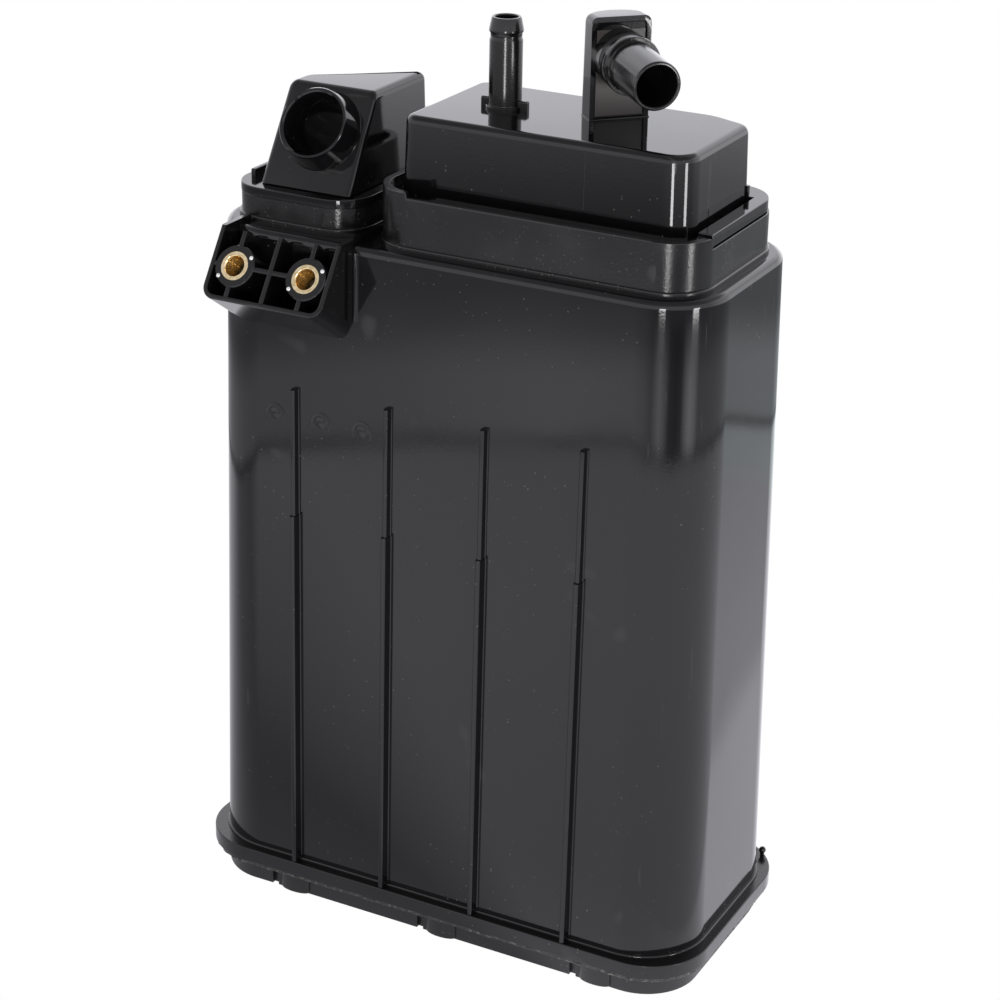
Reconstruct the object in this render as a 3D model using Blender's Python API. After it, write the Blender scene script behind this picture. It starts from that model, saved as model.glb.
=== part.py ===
"""Fuel-vapour charcoal canister: a moulded two-chamber body with welded cover, cap and air housing.

X runs along the ribbed front face, Y is the depth away from it and Z is up. The origin is the
centre of the underside of the base cover. All sizes are in metres.
"""
import math

import bmesh
import bpy
from mathutils import Matrix, Vector

# Clearances and mesh fineness
CLEAR = 0.0003            # gap left between two pieces that touch
EMBED = 0.0015            # how far a feature reaches into the moulding that carries it
CORNER_STEPS = 6
ROUND_STEPS = 28

# Body: a drafted box with rounded corners
BODY_TOP_Z = 0.2070
BODY_FOOT_HALF_X = 0.0791
BODY_FOOT_HALF_Y = 0.03725
BODY_FOOT_RADIUS = 0.0197
BODY_DRAFT_X = 0.0033
BODY_DRAFT_Y = 0.0030
BODY_TOP_RADIUS = 0.0180
BODY_TOP_HALF_X = BODY_FOOT_HALF_X - BODY_DRAFT_X
BODY_TOP_HALF_Y = BODY_FOOT_HALF_Y - BODY_DRAFT_Y
SHOULDER_RADIUS = 0.0022
WALL = 0.0024
ROOF_WALL = 0.0026
AIR_SIDE_LENGTH = 0.0508        # from the left end of the body's top to the partition
PARTITION_X = AIR_SIDE_LENGTH - BODY_TOP_HALF_X
PARTITION_WALL = 0.0022
PARTITION_FOOT_Z = 0.0160
PARTITION_CORNER = 0.0030

# Weld flange round the foot of the body
FLANGE_BOTTOM_Z = 0.0078
FLANGE_THICKNESS = 0.0046
FLANGE_REACH = 0.0030           # how far the flange stands out from the body
FLANGE_RADIUS = 0.0190
FLANGE_TOP_Z = FLANGE_BOTTOM_Z + FLANGE_THICKNESS
FLANGE_HALF_X = BODY_FOOT_HALF_X + FLANGE_REACH
FLANGE_HALF_Y = BODY_FOOT_HALF_Y + FLANGE_REACH

# Stiffening ribs on the long faces
RIB_COUNT = 4
RIB_END_GAP = 0.0336            # from the left end of the body's foot to the first rib
RIB_FAR_GAP = 0.0346            # from the last rib to the right end
RIB_FIRST_X = RIB_END_GAP - BODY_FOOT_HALF_X
RIB_PITCH = (2.0 * BODY_FOOT_HALF_X - RIB_END_GAP - RIB_FAR_GAP) / (RIB_COUNT - 1)
RIB_DROP = 0.0440               # from the roof down to the top of the ribs
RIB_UPPER_LENGTH = 0.0380
RIB_TOP_Z = BODY_TOP_Z - RIB_DROP
RIB_STEP_Z = RIB_TOP_Z - RIB_UPPER_LENGTH
RIB_UPPER_WIDTH = 0.0020
RIB_LOWER_WIDTH = 0.0024
RIB_UPPER_HEIGHT = 0.0014
RIB_LOWER_HEIGHT = 0.0026

# Welding collars on the roof, placed from the edges of the roof
CAP_COLLAR_OVERHANG = 0.0008    # how far the cap collar reaches left over the partition
CAP_COLLAR_END_GAP = 0.0047
CAP_COLLAR_SIDE_GAP = 0.00465
CAP_COLLAR_RADIUS = 0.0125
CAP_COLLAR_HEIGHT = 0.0112
CAP_SEAT_HEIGHT = 0.0088
CAP_SEAT_WIDTH = 0.0052
LIP_WIDTH = 0.0022
LIP_FRONT_HEIGHT = 0.0143
LIP_LEFT_HEIGHT = 0.0160
LIP_LEFT_LENGTH = 0.0121
LIP_FRONT_DEPTH = 0.0113
CAP_COLLAR_LEFT_X = PARTITION_X - CAP_COLLAR_OVERHANG
CAP_COLLAR_RIGHT_X = BODY_TOP_HALF_X - CAP_COLLAR_END_GAP
CAP_COLLAR_HALF_Y = BODY_TOP_HALF_Y - CAP_COLLAR_SIDE_GAP
CAP_COLLAR_TOP_Z = BODY_TOP_Z + CAP_COLLAR_HEIGHT
CAP_SEAT_Z = BODY_TOP_Z + CAP_SEAT_HEIGHT
LIP_FRONT_Z = BODY_TOP_Z + LIP_FRONT_HEIGHT
LIP_LEFT_Z = BODY_TOP_Z + LIP_LEFT_HEIGHT
LIP_STEP_X = CAP_COLLAR_LEFT_X + LIP_LEFT_LENGTH
LIP_STEP_Y = LIP_FRONT_DEPTH - CAP_COLLAR_HALF_Y
COLLAR_FOOT_PROUD = 0.0006
COLLAR_FOOT_HEIGHT = 0.0012
AIR_COLLAR_END_GAP = 0.0034
AIR_COLLAR_SIDE_GAP = 0.00745
AIR_COLLAR_INNER_GAP = 0.0061   # from the partition to the air collar
AIR_COLLAR_RADIUS = 0.0107
AIR_COLLAR_HEIGHT = 0.0094
AIR_COLLAR_LEFT_X = AIR_COLLAR_END_GAP - BODY_TOP_HALF_X
AIR_COLLAR_RIGHT_X = PARTITION_X - AIR_COLLAR_INNER_GAP
AIR_COLLAR_HALF_Y = BODY_TOP_HALF_Y - AIR_COLLAR_SIDE_GAP
AIR_COLLAR_TOP_Z = BODY_TOP_Z + AIR_COLLAR_HEIGHT
RAIL_WIDTH = 0.0030
RAIL_LENGTH = 0.0260
RAIL_HEIGHT = 0.0024
RAIL_INSET = 0.0036
RAIL_Y = -0.0055
RAIL_X = AIR_COLLAR_LEFT_X + RAIL_INSET

# Mounting bracket: an open ribbed box leaning back from the front face
BRACKET_TILT = math.radians(34.0)
BRACKET_END_GAP = 0.0288        # from the left end of the body's top to the bracket's middle
BRACKET_PROUD = 0.01635         # how far its lower front edge stands out from the body's top
BRACKET_DROP = 0.0160
BRACKET_CREST = 0.0014
BRACKET_HALF_WIDTH = 0.0191
BRACKET_X = BRACKET_END_GAP - BODY_TOP_HALF_X
BRACKET_Y = -BODY_TOP_HALF_Y - BRACKET_PROUD
BRACKET_Z = BODY_TOP_Z - BRACKET_DROP
BRACKET_TOP_Z = BODY_TOP_Z + BRACKET_CREST
BRACKET_CORNER = 0.0038
BRACKET_WALL = 0.0014
BRACKET_RIB = 0.0014
BRACKET_REACH = 0.0260
BRACKET_RUN = 0.0340
BOSS_OFFSET = 0.0113
BOSS_HEIGHT = 0.01025
BOSS_RADIUS = 0.0061
BOSS_PILOT_RADIUS = 0.0030
BOSS_PILOT_DEPTH = 0.0110
INSERT_RADIUS = 0.0042
INSERT_LENGTH = 0.0090
INSERT_BORE_RADIUS = 0.0025
INSERT_CHAMFER = 0.0005
BEAD_OFFSET = 0.0207            # from the bracket's middle to the bead beside it
BEAD_RADIUS = 0.0007
BEAD_LENGTH = 0.0210
BEAD_X = BRACKET_X + BEAD_OFFSET
BEAD_FOOT_Z = BODY_TOP_Z - BEAD_LENGTH

# Pip on the rear corner of the flange
PIP_INSET_X = 0.0059
PIP_INSET_Y = 0.00675
PIP_X = FLANGE_HALF_X - PIP_INSET_X
PIP_Y = FLANGE_HALF_Y - PIP_INSET_Y
PIP_RADIUS = 0.0011
PIP_HEIGHT = 0.0030

# Base cover
SKIRT_INSET = 0.0039
SKIRT_RADIUS = 0.0165
COVER_FLOOR = 0.0026
COVER_WALL = 0.0030
FLASH_INSET = 0.0017
FLASH_HEIGHT = 0.0012
LOCATOR_WALL = 0.0015
LOCATOR_RISE = 0.0048           # how far the locating rim reaches up into the body
LOCATOR_TOP_Z = FLANGE_BOTTOM_Z + LOCATOR_RISE
LOBE_COUNT = 3
LOBE_END_GAP = 0.0351           # from the left end of the flange to the first lobe
LOBE_FAR_GAP = 0.0281           # from the last lobe to the right end of the flange
LOBE_FIRST_X = LOBE_END_GAP - FLANGE_HALF_X
LOBE_PITCH = (2.0 * FLANGE_HALF_X - LOBE_END_GAP - LOBE_FAR_GAP) / (LOBE_COUNT - 1)
LOBE_HALF_WIDTH = 0.0049
LOBE_PROUD = 0.0018
LOBE_FOOT_Z = 0.0004
SLOT_OFFSET_X = -0.0072
SLOT_WIDTH = 0.0020
SLOT_DEPTH = 0.0012
SPRING_SEAT_RADIUS = 0.0052
SPRING_SEAT_HEIGHT = 0.0040

# Cap with the purge nipple and the tank port
CAP_INSET_LEFT = 0.0055         # insets of the cap box from the collar's outline
CAP_INSET_RIGHT = 0.0070
CAP_INSET_FRONT = 0.0083
CAP_INSET_BACK = 0.0046
CAP_FLANGE_HEIGHT = 0.0061      # of the cap's flange above its seat
CAP_HEIGHT = 0.0197             # of the cap box above its flange
CAP_LEFT_X = CAP_COLLAR_LEFT_X + CAP_INSET_LEFT
CAP_RIGHT_X = CAP_COLLAR_RIGHT_X - CAP_INSET_RIGHT
CAP_FRONT_Y = CAP_INSET_FRONT - CAP_COLLAR_HALF_Y
CAP_BACK_Y = CAP_COLLAR_HALF_Y - CAP_INSET_BACK
CAP_FLANGE_TOP_Z = CAP_SEAT_Z + CAP_FLANGE_HEIGHT
CAP_TOP_Z = CAP_FLANGE_TOP_Z + CAP_HEIGHT
CAP_CORNER = 0.0040
CAP_CHAMFER_X = 0.0115
CAP_CHAMFER_Y = 0.0045
CAP_DRAFT = 0.0005
CAP_EDGE = 0.0014
CAP_WALL = 0.0022
CAP_PLATE_INSET = 0.0004
PURGE_INSET = 0.0206            # from the cap's left side to the purge nipple
PURGE_X = CAP_LEFT_X + PURGE_INSET
PURGE_Y = 0.0005
PURGE_HEIGHT = 0.0249
PURGE_RADIUS = 0.00453
PURGE_BARB_RADIUS = 0.0047
PURGE_NECK_RADIUS = 0.0043
PURGE_TIP_RADIUS = 0.0040
PURGE_BORE_RADIUS = 0.0030
PURGE_FOOT_RADIUS = 0.0056
PURGE_FOOT_HEIGHT = 0.0020
PURGE_LUG_REACH = 0.0070
PURGE_LUG_WIDTH = 0.0022
PURGE_LUG_HEIGHT = 0.0026
TOWER_INSET = 0.0324            # from the cap's right side to the middle of the tower's face
TOWER_X = CAP_RIGHT_X - TOWER_INSET
TOWER_Y = 0.0061
TOWER_AZIMUTH = math.radians(46.0)
TOWER_HALF_WIDTH = 0.00843
TOWER_DEPTH = 0.0097
TOWER_FOOT_DEPTH = 0.0112
TOWER_HEIGHT = 0.0276
TOWER_TOP_Z = CAP_TOP_Z + TOWER_HEIGHT
TOWER_CROWN = 0.0020
TOWER_FOOT_FLARE = 0.0004
TOWER_WALL = 0.0018
PANEL_BORDER = 0.0018
PANEL_DEPTH = 0.0005
PORT_DROP = 0.0109              # from the tower's top down to the port's middle
PORT_Z = TOWER_TOP_Z - PORT_DROP
PORT_DIP = math.radians(3.2)
PORT_BASE_RADIUS = 0.0077
PORT_BASE_LENGTH = 0.0040
PORT_WAIST_DEPTH = 0.0006
PORT_RING_RADIUS = 0.0080
PORT_RING_START = 0.0068
PORT_RING_END = 0.0092
PORT_ROOT_RADIUS = 0.0067
PORT_TIP_RADIUS = 0.0066
PORT_LENGTH = 0.0268
PORT_TIP_EDGE = 0.0003
PORT_BORE_RADIUS = 0.0056

# Air housing: a wedge with a sloped front and a short spigot
HOUSING_INSET_LEFT = 0.0084     # insets of the housing from the air collar's outline
HOUSING_INSET_RIGHT = 0.0039
HOUSING_INSET_FRONT = 0.0042
HOUSING_INSET_BACK = 0.0046
HOUSING_LEFT_DEPTH = 0.0084     # of its roof at the shallow left end
HOUSING_HEIGHT = 0.0258
HOUSING_LEAN = 0.0160           # how far the sloped front leans back
HOUSING_LEFT_X = AIR_COLLAR_LEFT_X + HOUSING_INSET_LEFT
HOUSING_RIGHT_X = AIR_COLLAR_RIGHT_X - HOUSING_INSET_RIGHT
HOUSING_FRONT_Y = HOUSING_INSET_FRONT - AIR_COLLAR_HALF_Y
HOUSING_BACK_RIGHT_Y = AIR_COLLAR_HALF_Y - HOUSING_INSET_BACK
HOUSING_BOTTOM_Z = AIR_COLLAR_TOP_Z + CLEAR
HOUSING_TOP_Z = HOUSING_BOTTOM_Z + HOUSING_HEIGHT
HOUSING_TOP_FRONT_Y = HOUSING_FRONT_Y + HOUSING_LEAN
HOUSING_BACK_LEFT_Y = HOUSING_TOP_FRONT_Y + HOUSING_LEFT_DEPTH
HOUSING_LEFT_DRAFT = 0.0002
HOUSING_RIGHT_DRAFT = 0.0008
HOUSING_EDGE = 0.0024
HOUSING_WALL = 0.0022
HOUSING_LEFT_RADIUS = 0.0006
HOUSING_RIGHT_RADIUS = 0.0016
HOUSING_BACK_RADIUS = 0.0026
HOUSING_RIM = 0.0022
HOUSING_LOCATOR = 0.0016
HOUSING_LOCATOR_DEPTH = 0.0040
HOLLOW_DRAFT = 0.1              # share of the outer draft that the hollow has near its foot
SPIGOT_INSET = 0.0153           # from the housing's left side to the spigot's middle
SPIGOT_X = HOUSING_LEFT_X + SPIGOT_INSET
SPIGOT_UP = 0.0172
SPIGOT_ROOT_RADIUS = 0.0119
SPIGOT_TIP_RADIUS = 0.0102
SPIGOT_BORE_RADIUS = 0.0090
SPIGOT_LENGTH = 0.0070

# What the chambers hold
PLATE_Z = 0.0320
PLATE_THICKNESS = 0.0024
PLATE_SLOT = 0.0030
PLATE_BAR = 0.0040
FELT_THICKNESS = 0.0035
SCREEN_THICKNESS = 0.0016
PACK_CLEAR = 0.0004
SPRING_RADIUS = 0.0066
SPRING_WIRE_RADIUS = 0.0006
SPRING_TURNS = 5
SPRING_TURN_STEPS = 14
SPRING_END_GAP = 0.0247         # from each end of the main chamber to a spring's middle


def material(name, colour, roughness, metallic=0.0):
    """Principled material in one base colour."""
    result = bpy.data.materials.new(name)
    result.use_nodes = True
    shader = result.node_tree.nodes["Principled BSDF"]
    shader.inputs["Base Color"].default_value = (*colour, 1.0)
    shader.inputs["Roughness"].default_value = roughness
    shader.inputs["Metallic"].default_value = metallic
    result.diffuse_color = (*colour, 1.0)
    return result


def rectangle(left, right, half_y):
    """Corners of a rectangle, counter-clockwise from the front left."""
    return [(left, -half_y), (right, -half_y), (right, half_y), (left, half_y)]


def offset(corners, distance):
    """Corners of a convex outline with every side moved inward by the distance."""
    count = len(corners)
    moved = []
    for index in range(count):
        before = Vector(corners[index - 1])
        here = Vector(corners[index])
        after = Vector(corners[(index + 1) % count])
        first = (here - before).normalized()
        second = (after - here).normalized()
        normal = Vector((-first.y, first.x))
        other = Vector((-second.y, second.x))
        moved.append(tuple(here + (normal + other) * distance / (1.0 + normal.dot(other))))
    return moved


def fillet(corners, radii, steps=CORNER_STEPS):
    """Points of a convex outline whose corners are rounded, each by its own radius."""
    count = len(corners)
    points = []
    for index in range(count):
        here = Vector(corners[index])
        back = (Vector(corners[index - 1]) - here).normalized()
        ahead = (Vector(corners[(index + 1) % count]) - here).normalized()
        radius = max(radii[index], 0.0002)
        half = back.angle(ahead) / 2.0
        centre = here + (back + ahead).normalized() * radius / math.sin(half)
        start = here + back * radius / math.tan(half) - centre
        sweep = math.pi - 2.0 * half
        for step in range(steps + 1):
            turn = Matrix.Rotation(sweep * step / steps, 2)
            points.append(tuple(centre + turn @ start))
    return points


def at_height(points, z):
    """The outline's points placed at one height."""
    return [(x, y, z) for x, y in points]


def loft(levels):
    """Closed mesh through outlines of the same number of points, capped at both ends."""
    bm = bmesh.new()
    rings = [[bm.verts.new(point) for point in level] for level in levels]
    for lower, upper in zip(rings, rings[1:]):
        for index, vertex in enumerate(lower):
            follower = (index + 1) % len(lower)
            bm.faces.new((vertex, lower[follower], upper[follower], upper[index]))
    bm.faces.new(rings[0])
    bm.faces.new(rings[-1])
    bmesh.ops.recalc_face_normals(bm, faces=bm.faces)
    return bm


def block(low, high):
    """Box between two opposite corners."""
    outline = [(low[0], low[1]), (high[0], low[1]), (high[0], high[1]), (low[0], high[1])]
    return loft([at_height(outline, low[2]), at_height(outline, high[2])])


def turned(profile, steps=ROUND_STEPS):
    """Solid of revolution about Z through (radius, height) points given from bottom to top."""
    levels = []
    for radius, height in profile:
        ring = []
        for step in range(steps):
            angle = math.tau * step / steps
            ring.append((radius * math.cos(angle), radius * math.sin(angle), height))
        levels.append(ring)
    return loft(levels)


def placed(bm, matrix):
    """The mesh moved by the matrix."""
    bm.transform(matrix)
    return bm


def add_object(name, bm, look):
    """Named object made of the mesh, in its own material."""
    mesh = bpy.data.meshes.new(name)
    bm.to_mesh(mesh)
    bm.free()
    piece = bpy.data.objects.new(name, mesh)
    bpy.context.scene.collection.objects.link(piece)
    piece.parent = CANISTER
    mesh.materials.append(look)
    mesh.shade_smooth()
    mesh.set_sharp_from_angle(angle=math.radians(32.0))
    return piece


def add_tool(name, bm):
    """Shape that only takes part in Booleans."""
    tool = add_object("tool_" + name, bm, TOOL_LOOK)
    tool.hide_render = True
    tool.display_type = "WIRE"
    return tool


def boolean(piece, operation, tools):
    """Boolean of the piece with each tool in turn."""
    for tool in tools:
        modifier = piece.modifiers.new(operation.title(), "BOOLEAN")
        modifier.operation = operation
        modifier.solver = "EXACT"
        modifier.object = tool


def join(piece, *tools):
    boolean(piece, "UNION", tools)


def cut(piece, *tools):
    boolean(piece, "DIFFERENCE", tools)


def body_size(z):
    """Half length, half depth and corner radius of the drafted body at a height."""
    share = (z - FLANGE_TOP_Z) / (BODY_TOP_Z - FLANGE_TOP_Z)
    half_x = BODY_FOOT_HALF_X + (BODY_TOP_HALF_X - BODY_FOOT_HALF_X) * share
    half_y = BODY_FOOT_HALF_Y + (BODY_TOP_HALF_Y - BODY_FOOT_HALF_Y) * share
    radius = BODY_FOOT_RADIUS + (BODY_TOP_RADIUS - BODY_FOOT_RADIUS) * share
    return half_x, half_y, radius


def body_ring(z, inset=0.0, height=None):
    """Outline of the body at a height, moved inward, and placed at that or another height."""
    half_x, half_y, radius = body_size(z)
    corners = offset(rectangle(-half_x, half_x, half_y), inset)
    return at_height(fillet(corners, [radius - inset] * 4), z if height is None else height)


def chamber_ring(z, main, inset=0.0):
    """Outline of a chamber at a height: the main chamber right of the partition, or the air side."""
    half_x, half_y, radius = body_size(z)
    near = PARTITION_X + (PARTITION_WALL if main else -PARTITION_WALL) / 2.0
    left, right = (near, half_x - WALL) if main else (-half_x + WALL, near)
    corners = offset(rectangle(left, right, half_y - WALL), inset)
    round_side = radius - WALL - inset
    square_side = PARTITION_CORNER
    radii = [square_side, round_side, round_side, square_side]
    if not main:
        radii = [round_side, square_side, square_side, round_side]
    return at_height(fillet(corners, radii), z)


def chamber_block(bottom, top, main, inset):
    """Solid that fills a chamber between two heights, with a gap to its walls."""
    return loft([chamber_ring(bottom, main, inset), chamber_ring(top, main, inset)])


def collar_corners(main):
    """Corners of the cap collar or of the air collar."""
    if main:
        return rectangle(CAP_COLLAR_LEFT_X, CAP_COLLAR_RIGHT_X, CAP_COLLAR_HALF_Y)
    return rectangle(AIR_COLLAR_LEFT_X, AIR_COLLAR_RIGHT_X, AIR_COLLAR_HALF_Y)


def collar_prism(inset, bottom, top):
    """Upright prism on the cap collar's outline moved inward."""
    outline = fillet(offset(collar_corners(True), inset), [CAP_COLLAR_RADIUS - inset] * 4)
    return loft([at_height(outline, bottom), at_height(outline, top)])


def housing_corners(front_y, inset=0.0, draft=0.0):
    """Corners of the air housing in plan: shallow on the left, deep on the right."""
    left = HOUSING_LEFT_X + HOUSING_LEFT_DRAFT * draft
    right = HOUSING_RIGHT_X - HOUSING_RIGHT_DRAFT * draft
    corners = [
        (left, front_y), (right, front_y),
        (right, HOUSING_BACK_RIGHT_Y), (left, HOUSING_BACK_LEFT_Y)]
    return offset(corners, inset)


def housing_ring(z, front_y, inset=0.0, draft=0.0):
    """Outline of the housing at a height, its rounded corners shrinking with the inset."""
    radii = [HOUSING_LEFT_RADIUS, HOUSING_RIGHT_RADIUS, HOUSING_BACK_RADIUS, HOUSING_BACK_RADIUS]
    shrunk = [max(radius - inset, radius / 3.0) for radius in radii]
    return at_height(fillet(housing_corners(front_y, inset, draft), shrunk), z)


def housing_front_y(z):
    """Depth of the housing's sloped front at a height."""
    share = (z - HOUSING_BOTTOM_Z) / (HOUSING_TOP_Z - HOUSING_BOTTOM_Z)
    return HOUSING_FRONT_Y + (HOUSING_TOP_FRONT_Y - HOUSING_FRONT_Y) * share


def bracket_prism(low_u, high_u, low_v, high_v, low_n, high_n, radius=0.0):
    """Prism in the bracket's own axes: across, up its leaning front, and out of it."""
    corners = [(low_u, low_v), (high_u, low_v), (high_u, high_v), (low_u, high_v)]
    outline = fillet(corners, [radius, radius, 0.0, 0.0]) if radius else corners
    bm = loft([at_height(outline, low_n), at_height(outline, high_n)])
    return placed(bm, BRACKET_AXES)


def bracket_cylinder(u, radius, depth, front=0.0, steps=ROUND_STEPS):
    """Cylinder into the bracket, on a boss axis."""
    bm = turned([(radius, -depth), (radius, front)], steps)
    return placed(bm, BRACKET_AXES @ Matrix.Translation((u, BOSS_HEIGHT, 0.0)))


def make_bracket():
    """Open box with a cross of ribs and two bosses, cut off level at its top."""
    box = add_tool("bracket", bracket_prism(
        -BRACKET_HALF_WIDTH, BRACKET_HALF_WIDTH, 0.0, BRACKET_RUN, -BRACKET_REACH, 0.0,
        BRACKET_CORNER))
    inner = BRACKET_HALF_WIDTH - BRACKET_WALL
    pocket = add_tool("pocket", bracket_prism(
        -inner, inner, BRACKET_WALL, BRACKET_RUN + EMBED, -BRACKET_REACH - EMBED, EMBED,
        BRACKET_CORNER - BRACKET_WALL))
    keep = []
    for side in (-1.0, 0.0, 1.0):
        u = side * BOSS_OFFSET
        keep.append(bracket_prism(
            u - BRACKET_RIB / 2.0, u + BRACKET_RIB / 2.0, -EMBED, BRACKET_RUN + 2.0 * EMBED,
            -BRACKET_REACH - 2.0 * EMBED, 2.0 * EMBED))
    low_v = BOSS_HEIGHT - BRACKET_RIB / 2.0
    keep.append(bracket_prism(
        -BRACKET_HALF_WIDTH, BRACKET_HALF_WIDTH, low_v, low_v + BRACKET_RIB,
        -BRACKET_REACH - 2.0 * EMBED, 2.0 * EMBED))
    for side in (-1.0, 1.0):
        keep.append(bracket_cylinder(
            side * BOSS_OFFSET, BOSS_RADIUS, BRACKET_REACH + 2.0 * EMBED, 2.0 * EMBED))
    cut(pocket, *[add_tool("pocket_keep", bm) for bm in keep])
    cut(box, pocket)
    far = 2.0 * BRACKET_RUN
    clip = block(
        (BRACKET_X - far, BRACKET_Y - far, BRACKET_TOP_Z),
        (BRACKET_X + far, BRACKET_Y + far, BRACKET_TOP_Z + far))
    cut(box, add_tool("bracket_clip", clip))
    return box


def rib_tool(name, x, side, width, height, bottom, top):
    """Rib that stands out from a long face by its height and follows the face's draft."""
    outer = []
    for z in (bottom, top):
        face = body_size(z)[1]
        outer.append((side * (face - WALL / 2.0), z))
        outer.append((side * (face + height), z))
    profile = [outer[0], outer[1], outer[3], outer[2]]
    levels = [[(x + end * width / 2.0, y, z) for y, z in profile] for end in (-1.0, 1.0)]
    return add_tool(name, loft(levels))


def make_body():
    """The main moulding: two chambers, partition, flange, ribs, collars and bracket."""
    rings = [body_ring(FLANGE_BOTTOM_Z), body_ring(BODY_TOP_Z - SHOULDER_RADIUS)]
    for step in range(1, 4):
        angle = math.radians(90.0) * step / 4.0
        drop = SHOULDER_RADIUS * (1.0 - math.sin(angle))
        rings.append(body_ring(BODY_TOP_Z - drop, SHOULDER_RADIUS * (1.0 - math.cos(angle))))
    rings.append(body_ring(BODY_TOP_Z, SHOULDER_RADIUS))
    body = add_object("body_shell", loft(rings), BODY_LOOK)

    flange = fillet(rectangle(-FLANGE_HALF_X, FLANGE_HALF_X, FLANGE_HALF_Y), [FLANGE_RADIUS] * 4)
    join(body, add_tool("flange", loft([
        at_height(flange, FLANGE_BOTTOM_Z), at_height(flange, FLANGE_TOP_Z)])))

    for index in range(RIB_COUNT):
        x = RIB_FIRST_X + RIB_PITCH * index
        for side in (-1.0, 1.0):
            join(body, rib_tool(
                "rib_upper", x, side, RIB_UPPER_WIDTH, RIB_UPPER_HEIGHT,
                RIB_STEP_Z - EMBED, RIB_TOP_Z))
            join(body, rib_tool(
                "rib_lower", x, side, RIB_LOWER_WIDTH, RIB_LOWER_HEIGHT,
                FLANGE_TOP_Z - EMBED, RIB_STEP_Z))

    foot_top = BODY_TOP_Z + COLLAR_FOOT_HEIGHT
    proud = COLLAR_FOOT_PROUD
    collar = add_tool("cap_collar", collar_prism(0.0, BODY_TOP_Z - EMBED, LIP_LEFT_Z))
    far = CAP_COLLAR_RIGHT_X + 2.0 * EMBED
    deep = CAP_COLLAR_HALF_Y + 2.0 * EMBED
    cut(collar, add_tool("lip_front", block(
        (LIP_STEP_X, -deep, LIP_FRONT_Z), (far, deep, LIP_LEFT_Z + 2.0 * EMBED))))
    cut(collar, add_tool("lip_side", block(
        (LIP_STEP_X, LIP_STEP_Y, CAP_COLLAR_TOP_Z), (far, deep, LIP_LEFT_Z + 2.0 * EMBED))))
    join(body, collar)
    join(body, add_tool("cap_collar_foot", collar_prism(-proud, BODY_TOP_Z - EMBED, foot_top)))
    air_outline = fillet(collar_corners(False), [AIR_COLLAR_RADIUS] * 4)
    join(body, add_tool("air_collar", loft([
        at_height(air_outline, BODY_TOP_Z - EMBED), at_height(air_outline, AIR_COLLAR_TOP_Z)])))
    air_foot = fillet(offset(collar_corners(False), -proud), [AIR_COLLAR_RADIUS + proud] * 4)
    join(body, add_tool("air_collar_foot", loft([
        at_height(air_foot, BODY_TOP_Z - EMBED), at_height(air_foot, foot_top)])))
    join(body, add_tool("rail", block(
        (RAIL_X - RAIL_WIDTH / 2.0, RAIL_Y - RAIL_LENGTH / 2.0, AIR_COLLAR_TOP_Z - EMBED),
        (RAIL_X + RAIL_WIDTH / 2.0, RAIL_Y + RAIL_LENGTH / 2.0, AIR_COLLAR_TOP_Z + RAIL_HEIGHT))))

    join(body, make_bracket())
    join(body, rib_tool(
        "bead", BEAD_X, -1.0, 2.0 * BEAD_RADIUS, BEAD_RADIUS,
        BEAD_FOOT_Z, BODY_TOP_Z - SHOULDER_RADIUS / 2.0))

    pip = turned([
        (PIP_RADIUS * 0.6, -EMBED), (PIP_RADIUS * 0.6, PIP_HEIGHT - 2.0 * PIP_RADIUS),
        (PIP_RADIUS, PIP_HEIGHT - PIP_RADIUS), (PIP_RADIUS * 0.5, PIP_HEIGHT)], 12)
    join(body, add_tool("pip", placed(pip, Matrix.Translation((PIP_X, PIP_Y, FLANGE_TOP_Z)))))

    cavity = add_tool("cavity", loft([
        body_ring(FLANGE_BOTTOM_Z, WALL, FLANGE_BOTTOM_Z - EMBED),
        body_ring(FLANGE_BOTTOM_Z, WALL), body_ring(ROOF_Z, WALL)]))
    cut(cavity, add_tool("partition", block(
        (PARTITION_X - PARTITION_WALL / 2.0, -BODY_FOOT_HALF_Y, PARTITION_FOOT_Z),
        (PARTITION_X + PARTITION_WALL / 2.0, BODY_FOOT_HALF_Y, BODY_TOP_Z))))
    cut(body, cavity)
    cut(body, add_tool("cap_opening", collar_prism(
        LIP_WIDTH + CAP_SEAT_WIDTH, ROOF_Z - EMBED, LIP_LEFT_Z + EMBED)))
    cut(body, add_tool("cap_seat", collar_prism(LIP_WIDTH, CAP_SEAT_Z, LIP_LEFT_Z + EMBED)))
    opening = housing_ring(0.0, HOUSING_FRONT_Y, HOUSING_RIM)
    outline = [(x, y) for x, y, _ in opening]
    cut(body, add_tool("air_opening", loft([
        at_height(outline, ROOF_Z - EMBED), at_height(outline, AIR_COLLAR_TOP_Z + EMBED)])))
    for side in (-1.0, 1.0):
        u = side * BOSS_OFFSET
        cut(body, add_tool("insert_hole", bracket_cylinder(
            u, INSERT_RADIUS + CLEAR, INSERT_LENGTH + CLEAR, EMBED)))
        cut(body, add_tool("pilot_hole", bracket_cylinder(
            u, BOSS_PILOT_RADIUS, BOSS_PILOT_DEPTH, EMBED, 16)))
    return body


def spring_places():
    """Spring names and where they stand, in the middle of their chambers."""
    end = body_size(PLATE_Z)[0] - WALL
    return [("spring_main_left", PARTITION_X + SPRING_END_GAP, 0.0),
            ("spring_main_right", end - SPRING_END_GAP, 0.0),
            ("spring_air", (PARTITION_X - end) / 2.0, 0.0)]


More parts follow.
